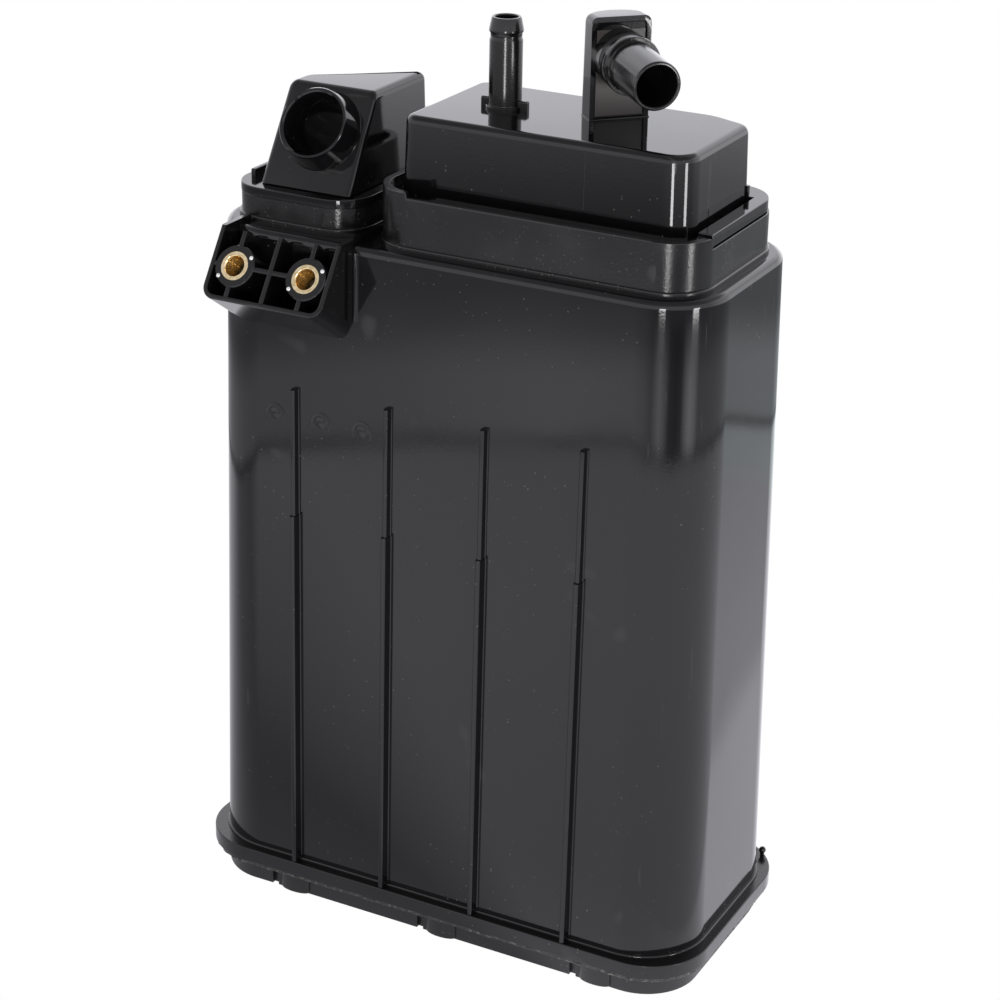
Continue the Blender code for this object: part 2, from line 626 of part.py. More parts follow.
def make_cover():
    """Welded tray under the body: skirt with lobes and slots, locating rim and spring seats."""
    half_x = FLANGE_HALF_X - SKIRT_INSET
    half_y = FLANGE_HALF_Y - SKIRT_INSET
    skirt = fillet(rectangle(-half_x, half_x, half_y), [SKIRT_RADIUS] * 4)
    top = FLANGE_BOTTOM_Z - CLEAR
    flash_x = FLANGE_HALF_X - FLASH_INSET
    flash_y = FLANGE_HALF_Y - FLASH_INSET
    flash = fillet(rectangle(-flash_x, flash_x, flash_y), [FLANGE_RADIUS - FLASH_INSET] * 4)
    cover = add_object("base_cover", loft([
        at_height(skirt, 0.0), at_height(skirt, top - FLASH_HEIGHT),
        at_height(flash, top - FLASH_HEIGHT), at_height(flash, top)]), COVER_LOOK)
    for index in range(LOBE_COUNT):
        x = LOBE_FIRST_X + LOBE_PITCH * index
        for side in (-1.0, 1.0):
            lobe = turned([(LOBE_HALF_WIDTH, LOBE_FOOT_Z), (LOBE_HALF_WIDTH, top - FLASH_HEIGHT / 2.0)], 20)
            flatten = Matrix.Diagonal((1.0, LOBE_PROUD / LOBE_HALF_WIDTH, 1.0, 1.0))
            place = Matrix.Translation((x, side * half_y, 0.0)) @ flatten
            join(cover, add_tool("lobe", placed(lobe, place)))
    for index in range(LOBE_COUNT):
        x = LOBE_FIRST_X + LOBE_PITCH * index + SLOT_OFFSET_X
        for side in (-1.0, 1.0):
            face = side * half_y
            cut(cover, add_tool("slot", block(
                (x - SLOT_WIDTH / 2.0, face - SLOT_DEPTH, -EMBED),
                (x + SLOT_WIDTH / 2.0, face + SLOT_DEPTH, top - 1.3 * FLASH_HEIGHT))))

    locator = body_ring(FLANGE_BOTTOM_Z, WALL + CLEAR, top - EMBED)
    locator_top = body_ring(LOCATOR_TOP_Z, WALL + CLEAR)
    join(cover, add_tool("locator", loft([locator, locator_top])))
    inside = WALL + CLEAR + LOCATOR_WALL
    hollow = loft([body_ring(FLANGE_BOTTOM_Z, inside + COVER_WALL / 2.0, COVER_FLOOR),
                   body_ring(FLANGE_BOTTOM_Z, inside, FLANGE_BOTTOM_Z),
                   body_ring(LOCATOR_TOP_Z, inside, LOCATOR_TOP_Z + EMBED)])
    cut(cover, add_tool("tray", hollow))
    for _, x, y in spring_places():
        seat = turned([
            (SPRING_SEAT_RADIUS, COVER_FLOOR - EMBED),
            (SPRING_SEAT_RADIUS, COVER_FLOOR + SPRING_SEAT_HEIGHT)], 20)
        join(cover, add_tool("spring_seat", placed(seat, Matrix.Translation((x, y, 0.0)))))
    return cover


def cap_ring(z, inset):
    """Outline of the cap box at a height, with its rear right corner cut off."""
    corners = [
        (CAP_LEFT_X, CAP_FRONT_Y), (CAP_RIGHT_X, CAP_FRONT_Y),
        (CAP_RIGHT_X, CAP_BACK_Y - CAP_CHAMFER_Y), (CAP_RIGHT_X - CAP_CHAMFER_X, CAP_BACK_Y),
        (CAP_LEFT_X, CAP_BACK_Y)]
    radius = CAP_CORNER - min(inset, CAP_CORNER / 2.0)
    return at_height(fillet(offset(corners, inset), [radius] * 5), z)


def tower_ring(z, inset=0.0, flare=0.0, depth=TOWER_DEPTH):
    """D-shaped outline of the port tower: flat in front, round behind, about its own axes."""
    half = TOWER_HALF_WIDTH - inset + flare
    front = -inset + flare
    back = depth - inset + flare / 2.0
    points = [(-half, -front), (half, -front)]
    bend = back - half * 0.72
    steps = 14
    for step in range(steps + 1):
        angle = math.pi * step / steps
        points.append((half * math.cos(angle), bend + (back - bend) * math.sin(angle)))
    return at_height(points, z)


def make_cap():
    """Cap box on its weld flange, with the purge nipple and the tank port tower."""
    seat = CAP_SEAT_Z + CLEAR
    gap = LIP_WIDTH + CLEAR
    flange = collar_prism(gap, seat, CAP_FLANGE_TOP_Z)
    cap = add_object("tank_cap", flange, CAP_LOOK)
    plate = add_tool("cap_plate", collar_prism(
        CAP_PLATE_INSET, CAP_COLLAR_TOP_Z + CLEAR, CAP_FLANGE_TOP_Z))
    far = 2.0 * CAP_COLLAR_RIGHT_X
    cut(plate, add_tool("plate_front", block(
        (-far, -far, CAP_SEAT_Z), (far, LIP_STEP_Y + CLEAR, LIP_LEFT_Z))))
    cut(plate, add_tool("plate_left", block(
        (-far, -far, CAP_SEAT_Z), (LIP_STEP_X + CLEAR, far, LIP_LEFT_Z))))
    join(cap, plate)
    rim = CAP_FLANGE_TOP_Z - EMBED
    join(cap, add_tool("cap_box", loft([
        cap_ring(rim, 0.0), cap_ring(CAP_TOP_Z - CAP_EDGE, CAP_DRAFT),
        cap_ring(CAP_TOP_Z - CAP_EDGE * 0.3, CAP_DRAFT + CAP_EDGE * 0.3),
        cap_ring(CAP_TOP_Z, CAP_DRAFT + CAP_EDGE)])))

    purge = Matrix.Translation((PURGE_X, PURGE_Y, CAP_TOP_Z))
    height = PURGE_HEIGHT
    tube = turned([
        (PURGE_FOOT_RADIUS, -EMBED), (PURGE_FOOT_RADIUS, PURGE_FOOT_HEIGHT * 0.6),
        (PURGE_RADIUS, PURGE_FOOT_HEIGHT), (PURGE_RADIUS, height - 0.0062),
        (PURGE_NECK_RADIUS, height - 0.0054), (PURGE_NECK_RADIUS, height - 0.0044),
        (PURGE_BARB_RADIUS, height - 0.0038), (PURGE_BARB_RADIUS, height - 0.0028),
        (PURGE_TIP_RADIUS, height)])
    join(cap, add_tool("purge_tube", placed(tube, purge)))
    for side in (-1.0, 1.0):
        ends = sorted((0.0, side * PURGE_LUG_REACH))
        join(cap, add_tool("purge_lug", placed(block(
            (ends[0], -PURGE_LUG_WIDTH / 2.0, -EMBED),
            (ends[1], PURGE_LUG_WIDTH / 2.0, PURGE_LUG_HEIGHT)), purge)))

    axes = Matrix.Translation((TOWER_X, TOWER_Y, 0.0)) @ Matrix.Rotation(TOWER_AZIMUTH, 4, "Z")
    tower = loft([
        tower_ring(CAP_TOP_Z - EMBED, 0.0, TOWER_FOOT_FLARE, TOWER_FOOT_DEPTH),
        tower_ring(CAP_TOP_Z + TOWER_FOOT_FLARE / 2.0, 0.0, TOWER_FOOT_FLARE, TOWER_FOOT_DEPTH),
        tower_ring(CAP_TOP_Z + TOWER_FOOT_FLARE * 1.5, 0.0, 0.0, TOWER_FOOT_DEPTH),
        tower_ring(TOWER_TOP_Z - TOWER_CROWN),
        tower_ring(TOWER_TOP_Z - TOWER_CROWN * 0.3, TOWER_CROWN * 0.3),
        tower_ring(TOWER_TOP_Z, TOWER_CROWN)])
    join(cap, add_tool("tower", placed(tower, axes)))
    panel_half = TOWER_HALF_WIDTH - PANEL_BORDER
    cut(cap, add_tool("panel", placed(block(
        (-panel_half, -EMBED, CAP_TOP_Z + PANEL_BORDER * 1.6),
        (panel_half, PANEL_DEPTH, TOWER_TOP_Z - PANEL_BORDER)), axes)))

    out = axes @ Matrix.Translation((0.0, 0.0, PORT_Z)) @ Matrix.Rotation(
        math.radians(90.0) + PORT_DIP, 4, "X")
    waist = PORT_BASE_RADIUS - PORT_WAIST_DEPTH
    port = turned([
        (PORT_BASE_RADIUS, -EMBED), (PORT_BASE_RADIUS, PORT_BASE_LENGTH),
        (waist, PORT_BASE_LENGTH + PORT_WAIST_DEPTH), (waist, PORT_RING_START),
        (PORT_RING_RADIUS, PORT_RING_START + PORT_WAIST_DEPTH),
        (PORT_RING_RADIUS, PORT_RING_END), (PORT_ROOT_RADIUS, PORT_RING_END),
        (PORT_TIP_RADIUS, PORT_LENGTH - PORT_TIP_EDGE),
        (PORT_TIP_RADIUS - PORT_TIP_EDGE, PORT_LENGTH)])
    join(cap, add_tool("port", placed(port, out)))

    wall = CAP_WALL + CAP_DRAFT
    roof = CAP_TOP_Z - CAP_WALL
    cut(cap, add_tool("cap_hollow", loft([cap_ring(seat - EMBED, wall), cap_ring(roof, wall)])))
    cut(cap, add_tool("purge_bore", placed(turned(
        [(PURGE_BORE_RADIUS, -CAP_WALL - EMBED), (PURGE_BORE_RADIUS, height + EMBED)], 20), purge)))
    duct = loft([
        tower_ring(roof - EMBED, TOWER_WALL),
        tower_ring(TOWER_TOP_Z - TOWER_CROWN - TOWER_WALL, TOWER_WALL)])
    cut(cap, add_tool("tower_duct", placed(duct, axes)))
    bore = turned([(PORT_BORE_RADIUS, -TOWER_DEPTH / 2.0), (PORT_BORE_RADIUS, PORT_LENGTH + EMBED)])
    cut(cap, add_tool("port_bore", placed(bore, out)))
    return cap


def make_housing():
    """Air housing: wedge on a locating rim, with the spigot square to its sloped front."""
    top = HOUSING_TOP_Z
    levels = [housing_ring(HOUSING_BOTTOM_Z, HOUSING_FRONT_Y)]
    for step in range(5):
        angle = math.radians(90.0) * step / 4.0
        z = top - HOUSING_EDGE * (1.0 - math.sin(angle))
        inset = HOUSING_EDGE * (1.0 - math.cos(angle))
        levels.append(housing_ring(z, housing_front_y(z) - inset, inset, 1.0))
    housing = add_object("air_housing", loft(levels), HOUSING_LOOK)
    rim = HOUSING_RIM + CLEAR
    join(housing, add_tool("housing_locator", loft([
        housing_ring(HOUSING_BOTTOM_Z - HOUSING_LOCATOR_DEPTH, HOUSING_FRONT_Y, rim),
        housing_ring(HOUSING_BOTTOM_Z + EMBED, HOUSING_FRONT_Y, rim)])))

    run = HOUSING_TOP_FRONT_Y - HOUSING_FRONT_Y
    slope = math.atan2(run, HOUSING_TOP_Z - HOUSING_BOTTOM_Z)
    foot = Matrix.Translation((SPIGOT_X, HOUSING_FRONT_Y, HOUSING_BOTTOM_Z))
    lean = Matrix.Rotation(math.radians(90.0) - slope, 4, "X")
    axes = foot @ lean @ Matrix.Translation((0.0, SPIGOT_UP, 0.0))
    spigot = turned([
        (SPIGOT_ROOT_RADIUS, -EMBED), (SPIGOT_TIP_RADIUS, SPIGOT_LENGTH)], 36)
    join(housing, add_tool("spigot", placed(spigot, axes)))

    inside = HOUSING_WALL * 1.1
    ceiling = top - HOUSING_WALL
    low = HOUSING_BOTTOM_Z + EMBED
    waist = low + 2.0 * EMBED
    cut(housing, add_tool("housing_hollow", loft([
        housing_ring(low, housing_front_y(low), rim + HOUSING_LOCATOR),
        housing_ring(waist, housing_front_y(waist), inside, HOLLOW_DRAFT),
        housing_ring(ceiling, housing_front_y(ceiling), inside, 1.0)])))
    throat = rim + HOUSING_LOCATOR
    cut(housing, add_tool("housing_throat", loft([
        housing_ring(HOUSING_BOTTOM_Z - HOUSING_LOCATOR_DEPTH - EMBED, HOUSING_FRONT_Y, throat),
        housing_ring(low + EMBED, HOUSING_FRONT_Y, throat)])))
    bore = turned([
        (SPIGOT_BORE_RADIUS, -2.0 * HOUSING_WALL),
        (SPIGOT_BORE_RADIUS, SPIGOT_LENGTH + EMBED)], 36)
    cut(housing, add_tool("spigot_bore", placed(bore, axes)))
    return housing


def make_insert(name, side):
    """Brass threaded insert, flush with the front of its boss."""
    body = turned([(INSERT_RADIUS, -INSERT_LENGTH), (INSERT_RADIUS, -INSERT_CHAMFER),
                   (INSERT_RADIUS - INSERT_CHAMFER, 0.0)])
    place = BRACKET_AXES @ Matrix.Translation((side * BOSS_OFFSET, BOSS_HEIGHT, 0.0))
    insert = add_object(name, placed(body, place), BRASS_LOOK)
    bore = turned([
        (INSERT_BORE_RADIUS, -INSERT_LENGTH - EMBED), (INSERT_BORE_RADIUS, -2.0 * INSERT_CHAMFER),
        (INSERT_BORE_RADIUS + 2.0 * INSERT_CHAMFER, 0.0),
        (INSERT_BORE_RADIUS + 2.0 * INSERT_CHAMFER, EMBED)])
    cut(insert, add_tool(name + "_bore", placed(bore, place)))
    return insert


def slotted(name, bottom, thickness, main, look):
    """Plate that fills a chamber, with rows of slots either side of a middle bar."""
    plate = add_object(name, chamber_block(bottom, bottom + thickness, main, PACK_CLEAR), look)
    ring = chamber_ring(bottom + thickness, main, PACK_CLEAR)
    left = min(x for x, _, _ in ring)
    right = max(x for x, _, _ in ring)
    deep = max(y for _, y, _ in ring)
    pitch = PLATE_SLOT + PLATE_BAR
    margin = body_size(bottom)[2] / 2.0
    count = int((right - left - 2.0 * margin) / pitch)
    start = (left + right) / 2.0 - pitch * (count - 1) / 2.0
    for index in range(count):
        x = start + pitch * index
        for side in (-1.0, 1.0):
            ends = sorted((side * PLATE_BAR, side * (deep - margin)))
            cut(plate, add_tool(name + "_slot", block(
                (x - PLATE_SLOT / 2.0, ends[0], bottom - EMBED),
                (x + PLATE_SLOT / 2.0, ends[1], bottom + thickness + EMBED))))
    return plate


def make_spring(name, x, y):
    """Compression spring with a flat last turn at each end."""
    low = COVER_FLOOR + CLEAR + SPRING_WIRE_RADIUS
    high = PLATE_Z - CLEAR - SPRING_WIRE_RADIUS
    curve = bpy.data.curves.new(name, "CURVE")
    curve.dimensions = "3D"
    curve.bevel_depth = SPRING_WIRE_RADIUS
    curve.bevel_resolution = 1
    curve.use_fill_caps = True
    steps = SPRING_TURNS * SPRING_TURN_STEPS
    spline = curve.splines.new("POLY")
    spline.points.add(steps)
    closed = 0.75 * SPRING_TURN_STEPS
    wire_rise = 2.0 * SPRING_WIRE_RADIUS + CLEAR
    for step in range(steps + 1):
        angle = math.tau * step / SPRING_TURN_STEPS
        inner = min(max((step - closed) / (steps - 2.0 * closed), 0.0), 1.0)
        end = min(step, closed) / closed + max(step - (steps - closed), 0.0) / closed
        rise = end * wire_rise + inner * (high - low - 2.0 * wire_rise)
        spline.points[step].co = (
            x + SPRING_RADIUS * math.cos(angle), y + SPRING_RADIUS * math.sin(angle), low + rise, 1.0)
    spring = bpy.data.objects.new(name, curve)
    bpy.context.scene.collection.objects.link(spring)
    spring.parent = CANISTER
    curve.materials.append(STEEL_LOOK)
    return spring


def fill_chamber(side, main):
    """Plate, felt, carbon, felt and screen stacked in a chamber from the bottom up."""
    slotted("support_plate_" + side, PLATE_Z, PLATE_THICKNESS, main, PLATE_LOOK)
    low_felt = PLATE_Z + PLATE_THICKNESS + CLEAR
    screen = ROOF_Z - CLEAR - SCREEN_THICKNESS
    high_felt = screen - CLEAR - FELT_THICKNESS
    add_object("bottom_filter_" + side, chamber_block(
        low_felt, low_felt + FELT_THICKNESS, main, PACK_CLEAR), FELT_LOOK)
    add_object("carbon_bed_" + side, chamber_block(
        low_felt + FELT_THICKNESS + CLEAR, high_felt - CLEAR, main, PACK_CLEAR), CARBON_LOOK)
    add_object("top_filter_" + side, chamber_block(
        high_felt, high_felt + FELT_THICKNESS, main, PACK_CLEAR), FELT_LOOK)
    slotted("top_screen_" + side, screen, SCREEN_THICKNESS, main, PLATE_LOOK)


for old in list(bpy.data.objects):
    bpy.data.objects.remove(old)

CANISTER = bpy.data.objects.new("canister", None)
bpy.context.scene.collection.objects.link(CANISTER)

TOOL_LOOK = material("tool", (0.8, 0.2, 0.1), 0.5)
BODY_LOOK = material("black_body_plastic", (0.018, 0.018, 0.021), 0.24)
COVER_LOOK = material("black_cover_plastic", (0.022, 0.022, 0.025), 0.38)
CAP_LOOK = material("black_cap_plastic", (0.018, 0.018, 0.020), 0.20)
HOUSING_LOOK = material("black_housing_plastic", (0.017, 0.017, 0.019), 0.20)
PLATE_LOOK = material("black_plate_plastic", (0.03, 0.03, 0.032), 0.45)
BRASS_LOOK = material("brass", (0.72, 0.47, 0.17), 0.25, 1.0)
STEEL_LOOK = material("spring_steel", (0.55, 0.55, 0.56), 0.32, 1.0)
FELT_LOOK = material("filter_felt", (0.62, 0.62, 0.60), 0.95)
CARBON_LOOK = material("activated_carbon", (0.012, 0.012, 0.012), 0.9)

ROOF_Z = BODY_TOP_Z - ROOF_WALL
BRACKET_AXES = Matrix.Translation((BRACKET_X, BRACKET_Y, BRACKET_Z)) @ Matrix.Rotation(
    math.radians(90.0) - BRACKET_TILT, 4, "X")

make_body()
make_cover()
make_cap()
make_housing()
make_insert("insert_left", -1.0)
make_insert("insert_right", 1.0)
fill_chamber("main", True)
fill_chamber("air", False)
for spring_name, spring_x, spring_y in spring_places():
    make_spring(spring_name, spring_x, spring_y)
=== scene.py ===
# %% [markdown]
# # A fuel-vapour charcoal canister
# This lesson dresses a moulded plastic canister: a tall drafted box with ribs, a cap with two
# pipes, an air housing with a short spigot, and a bracket with two brass inserts.
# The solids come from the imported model, so each new piece is placed by real sizes and nothing
# has to be fitted by eye. The lesson starts by loading that model and keeping its box.
# %% Load the solids
import math
import bmesh
import bpy
from mathutils import Matrix, Vector, noise


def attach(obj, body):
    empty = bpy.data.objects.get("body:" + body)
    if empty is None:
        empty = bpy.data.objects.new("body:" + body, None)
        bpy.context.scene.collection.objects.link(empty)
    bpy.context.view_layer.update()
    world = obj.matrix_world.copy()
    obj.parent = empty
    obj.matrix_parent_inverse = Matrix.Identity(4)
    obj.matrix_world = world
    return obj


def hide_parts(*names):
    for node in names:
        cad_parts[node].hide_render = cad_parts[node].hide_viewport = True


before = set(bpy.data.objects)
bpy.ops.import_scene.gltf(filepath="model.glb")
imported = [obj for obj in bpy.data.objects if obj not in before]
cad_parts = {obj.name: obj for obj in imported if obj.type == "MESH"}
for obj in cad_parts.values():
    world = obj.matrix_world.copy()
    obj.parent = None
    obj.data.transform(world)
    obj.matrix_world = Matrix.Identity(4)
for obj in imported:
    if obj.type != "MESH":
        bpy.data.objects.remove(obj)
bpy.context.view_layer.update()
MM = 0.001
print("solids:", sorted(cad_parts))

# %% [markdown]
# ## Camera
# The photograph looks down on the canister from its front right. A camera is a matrix with
# three axes and a place: its back axis points from the object to the lens. Typing the angles
# and building the axes from them is clearer than turning the camera by hand, and the small
# roll is easy to keep.
# %% Camera at the photograph's angle
AZIMUTH = math.radians(27.43)
ELEVATION = math.radians(23.28)
ROLL = math.radians(1.13)
LENS_PLACE = Vector((0.3128, -0.6000, 0.4171))

back = Vector((
    math.sin(AZIMUTH) * math.cos(ELEVATION),
    -math.cos(AZIMUTH) * math.cos(ELEVATION),
    math.sin(ELEVATION)))
level = (-back).cross(Vector((0.0, 0.0, 1.0))).normalized()
upright = level.cross(-back)
across = math.cos(ROLL) * level + math.sin(ROLL) * upright
upward = -math.sin(ROLL) * level + math.cos(ROLL) * upright
camera = bpy.data.objects.new("camera", bpy.data.cameras.new("camera"))
camera.matrix_world = Matrix((
    (across.x, upward.x, back.x, LENS_PLACE.x),
    (across.y, upward.y, back.y, LENS_PLACE.y),
    (across.z, upward.z, back.z, LENS_PLACE.z),
    (0.0, 0.0, 0.0, 1.0)))
camera.data.sensor_width = 36.0
camera.data.lens = 91.88
bpy.context.scene.collection.objects.link(camera)
bpy.context.scene.camera = camera
bpy.context.scene.view_settings.view_transform = "Standard"
print("camera at", tuple(round(value, 3) for value in camera.location))

# %% [markdown]
# ## Node helpers
# Every finish below is a small node tree. Three helpers keep the trees readable: one adds a
# node with its values, one joins two sockets, and one turns a number into a smooth mask.
# %% Helpers for node trees
def add_node(tree, kind, values=None, **settings):
    """A node with its settings and the values of its inputs."""
    node = tree.nodes.new(kind)
    for key, value in settings.items():
        setattr(node, key, value)
    for key, value in (values or {}).items():
        node.inputs[key].default_value = value
    return node


def wire(tree, source, target):
    tree.links.new(source, target)


def ranged(tree, source, low, high, out_low=0.0, out_high=1.0):
    """The source mapped smoothly from one range to another."""
    node = add_node(tree, "ShaderNodeMapRange", {
        "From Min": low, "From Max": high, "To Min": out_low, "To Max": out_high},
        interpolation_type="SMOOTHSTEP")
    wire(tree, source, node.inputs["Value"])
    return node.outputs["Result"]


def calculated(tree, operation, first, second):
    """A Math node between two sockets or numbers."""
    node = add_node(tree, "ShaderNodeMath", operation=operation)
    for index, value in enumerate((first, second)):
        if isinstance(value, (int, float)):
            node.inputs[index].default_value = value
        else:
            wire(tree, value, node.inputs[index])
    return node.outputs[0]


def mixed(tree, factor, first, second):
    """A colour between two colours; each may be a socket or a colour."""
    node = add_node(tree, "ShaderNodeMix", data_type="RGBA")
    wire(tree, factor, node.inputs[0])
    for index, value in ((6, first), (7, second)):
        if isinstance(value, tuple):
            node.inputs[index].default_value = (*value, 1.0)
        else:
            wire(tree, value, node.inputs[index])
    return node.outputs[2]


def new_group(name, inputs, outputs):
    """An empty shader node group with its sockets."""
    group = bpy.data.node_groups.new(name, "ShaderNodeTree")
    for socket, kind, value in inputs:
        made = group.interface.new_socket(name=socket, in_out="INPUT", socket_type=kind)
        if value is not None:
            made.default_value = value
    for socket, kind in outputs:
        group.interface.new_socket(name=socket, in_out="OUTPUT", socket_type=kind)
    return group, group.nodes.new("NodeGroupInput"), group.nodes.new("NodeGroupOutput")

# %% [markdown]
# ## Dust
# Handled black plastic always carries a few pale specks. A Voronoi texture gives one cell per
# possible speck; only cells whose random colour is bright enough get a speck, and a distance
# threshold makes it small and round. It is a group, because every plastic here has some.
# %% Dust specks group
dust_group, dust_in, dust_out = new_group(
    "dust_specks",
    [("Vector", "NodeSocketVector", None), ("Size", "NodeSocketFloat", 1000.0),
     ("Share", "NodeSocketFloat", 0.02)],
    [("Mask", "NodeSocketFloat")])
cells = add_node(dust_group, "ShaderNodeTexVoronoi")
wire(dust_group, dust_in.outputs["Vector"], cells.inputs["Vector"])
wire(dust_group, dust_in.outputs["Size"], cells.inputs["Scale"])
speck = ranged(dust_group, cells.outputs["Distance"], 0.30, 0.16)
draw = add_node(dust_group, "ShaderNodeSeparateColor")
wire(dust_group, cells.outputs["Color"], draw.inputs[0])
chosen = calculated(dust_group, "LESS_THAN", draw.outputs[0], dust_in.outputs["Share"])
patchy = add_node(dust_group, "ShaderNodeTexNoise", {"Scale": 28.0, "Detail": 2.0})
wire(dust_group, dust_in.outputs["Vector"], patchy.inputs["Vector"])
where = ranged(dust_group, patchy.outputs[0], 0.42, 0.62)
faint = ranged(dust_group, draw.outputs[1], 0.1, 1.0, 0.25, 1.0)
lit = calculated(dust_group, "MULTIPLY", calculated(dust_group, "MULTIPLY", speck, chosen), faint)
wire(dust_group, calculated(dust_group, "MULTIPLY", lit, where), dust_out.inputs["Mask"])
print("group:", dust_group.name)

# %% [markdown]
# ## Scratches and the skin of a moulding
# Thin rubs show where the part was handled: noise squeezed along one direction, with only its
# peaks kept. The moulding's skin is never quite flat either, and on glossy plastic that shows
# as gently bent reflections. Both go out as masks and heights, and the shader stays outside.
# %% Scratch and skin groups
rub_group, rub_in, rub_out = new_group(
    "fine_rubs", [("Vector", "NodeSocketVector", None)], [("Mask", "NodeSocketFloat")])
turned_way = add_node(rub_group, "ShaderNodeMapping", {
    "Rotation": (0.35, 0.5, 0.6), "Scale": (1.0, 22.0, 1.0)})
wire(rub_group, rub_in.outputs["Vector"], turned_way.inputs["Vector"])
streak = add_node(rub_group, "ShaderNodeTexNoise", {"Scale": 60.0, "Detail": 1.0})
wire(rub_group, turned_way.outputs["Vector"], streak.inputs["Vector"])
wire(rub_group, ranged(rub_group, streak.outputs[0], 0.70, 0.78), rub_out.inputs["Mask"])

skin_group, skin_in, skin_out = new_group(
    "moulded_skin", [("Vector", "NodeSocketVector", None)],
    [("Wave", "NodeSocketFloat"), ("Grain", "NodeSocketFloat")])
slow = add_node(skin_group, "ShaderNodeTexNoise", {"Scale": 17.0, "Detail": 1.0})
fine = add_node(skin_group, "ShaderNodeTexNoise", {"Scale": 1500.0, "Detail": 2.0})
for texture in (slow, fine):
    wire(skin_group, skin_in.outputs["Vector"], texture.inputs["Vector"])
wire(skin_group, slow.outputs[0], skin_out.inputs["Wave"])
wire(skin_group, fine.outputs[0], skin_out.inputs["Grain"])
print("groups:", rub_group.name, skin_group.name)

# %% [markdown]
# ## Black moulded plastic
# The body is glossy black nylon, almost a mirror at a low angle, and the cover and flange are
# a little duller. One function makes each plastic with its own values: the base colour is
# nearly black, dust lifts it in specks, and two bumps bend the reflections a little.
# %% Plastic materials
def new_look(name):
    """A material with an empty Principled shader, and its tree, shader and coordinates."""
    look = bpy.data.materials.new(name)
    look.use_nodes = True
    tree = look.node_tree
    shader = tree.nodes["Principled BSDF"]
    place = add_node(tree, "ShaderNodeTexCoord")
    return look, tree, shader, place.outputs["Object"]


def grouped(tree, group, place, **values):
    """A copy of a node group that reads the same coordinates."""
    node = add_node(tree, "ShaderNodeGroup", node_tree=group)
    wire(tree, place, node.inputs["Vector"])
    for key, value in values.items():
        node.inputs[key].default_value = value
    return node


def black_plastic(name, colour, roughness, wave=0.10, grain=0.02, dust=0.02, cloud=0.05):
    """Black moulded plastic with its own gloss, skin and share of dust."""
    look, tree, shader, place = new_look(name)
    specks = grouped(tree, dust_group, place, Share=dust).outputs["Mask"]
    rubs = grouped(tree, rub_group, place).outputs["Mask"]
    skin = grouped(tree, skin_group, place)
    tone = mixed(tree, specks, colour, (0.085, 0.082, 0.075))
    worn = mixed(tree, calculated(tree, "MULTIPLY", rubs, 0.35), tone, (0.040, 0.039, 0.037))
    wire(tree, worn, shader.inputs["Base Color"])
    smear = add_node(tree, "ShaderNodeTexNoise", {"Scale": 35.0, "Detail": 4.0})
    wire(tree, place, smear.inputs["Vector"])
    dull = ranged(tree, smear.outputs[0], 0.45, 0.75, roughness, roughness + cloud)
    marked = calculated(tree, "MULTIPLY", rubs, 0.12)
    wire(tree, calculated(tree, "ADD", dull, marked), shader.inputs["Roughness"])
    broad = add_node(tree, "ShaderNodeBump", {"Strength": wave, "Distance": 0.002})
    close = add_node(tree, "ShaderNodeBump", {"Strength": grain, "Distance": 0.0002})
    wire(tree, skin.outputs["Wave"], broad.inputs["Height"])
    wire(tree, skin.outputs["Grain"], close.inputs["Height"])
    wire(tree, broad.outputs["Normal"], close.inputs["Normal"])
    wire(tree, close.outputs["Normal"], shader.inputs["Normal"])
    shader.inputs["IOR"].default_value = 1.5
    return look


BODY_BLACK = black_plastic(
    "glossy_black_body", (0.0045, 0.0045, 0.0050), 0.06, wave=0.12, dust=0.06)
FLANGE_BLACK = black_plastic(
    "satin_black_flange", (0.0060, 0.0060, 0.0063), 0.22, grain=0.10, dust=0.05)
COVER_BLACK = black_plastic(
    "satin_black_cover", (0.0090, 0.0090, 0.0093), 0.34, grain=0.20, dust=0.06)
COLLAR_BLACK = black_plastic(
    "satin_black_collar", (0.0070, 0.0070, 0.0073), 0.18, grain=0.14, dust=0.22, cloud=0.14)
CAP_BLACK = black_plastic("glossy_black_cap", (0.0040, 0.0040, 0.0044), 0.06, wave=0.05, dust=0.05)
PIPE_BLACK = black_plastic(
    "satin_black_pipes", (0.0050, 0.0048, 0.0047), 0.17, wave=0.05, grain=0.06)
HOUSING_BLACK = black_plastic(
    "glossy_black_housing", (0.0040, 0.0040, 0.0044), 0.06, wave=0.06)
# Partly painted light: the matt roughness is the panel's own finish, but its lighter warm tone stands
# in for the light the matt panel catches.
MATT_PANEL_PAINTED_LIGHT = black_plastic(
    "matt_panel_painted_light", (0.042, 0.036, 0.033), 0.38, wave=0.03, grain=0.06, cloud=0.04)
BRACKET_BLACK = black_plastic("black_bracket", (0.0042, 0.0042, 0.0045), 0.14, grain=0.06)
print("plastics ready")

# %% [markdown]
# ## Brass, weld flash and what is inside
# The inserts are turned brass: metallic, bright, with fine rings from the lathe. The flash
# squeezed out by the weld is rough and has picked up brown-grey dirt. The felt, carbon, plates
# and springs inside can't be seen, yet they get a true finish for cut-away views.
# %% Other materials
BRASS, tree, shader, place = new_look("turned_brass")
lathe = add_node(tree, "ShaderNodeTexNoise", {"Scale": 900.0, "Detail": 2.0})
wire(tree, place, lathe.inputs["Vector"])
wire(tree, mixed(tree, ranged(tree, lathe.outputs[0], 0.3, 0.7),
                 (0.93, 0.72, 0.40), (1.0, 0.84, 0.56)), shader.inputs["Base Color"])
shader.inputs["Metallic"].default_value = 1.0
wire(tree, ranged(tree, lathe.outputs[0], 0.3, 0.8, 0.10, 0.24), shader.inputs["Roughness"])
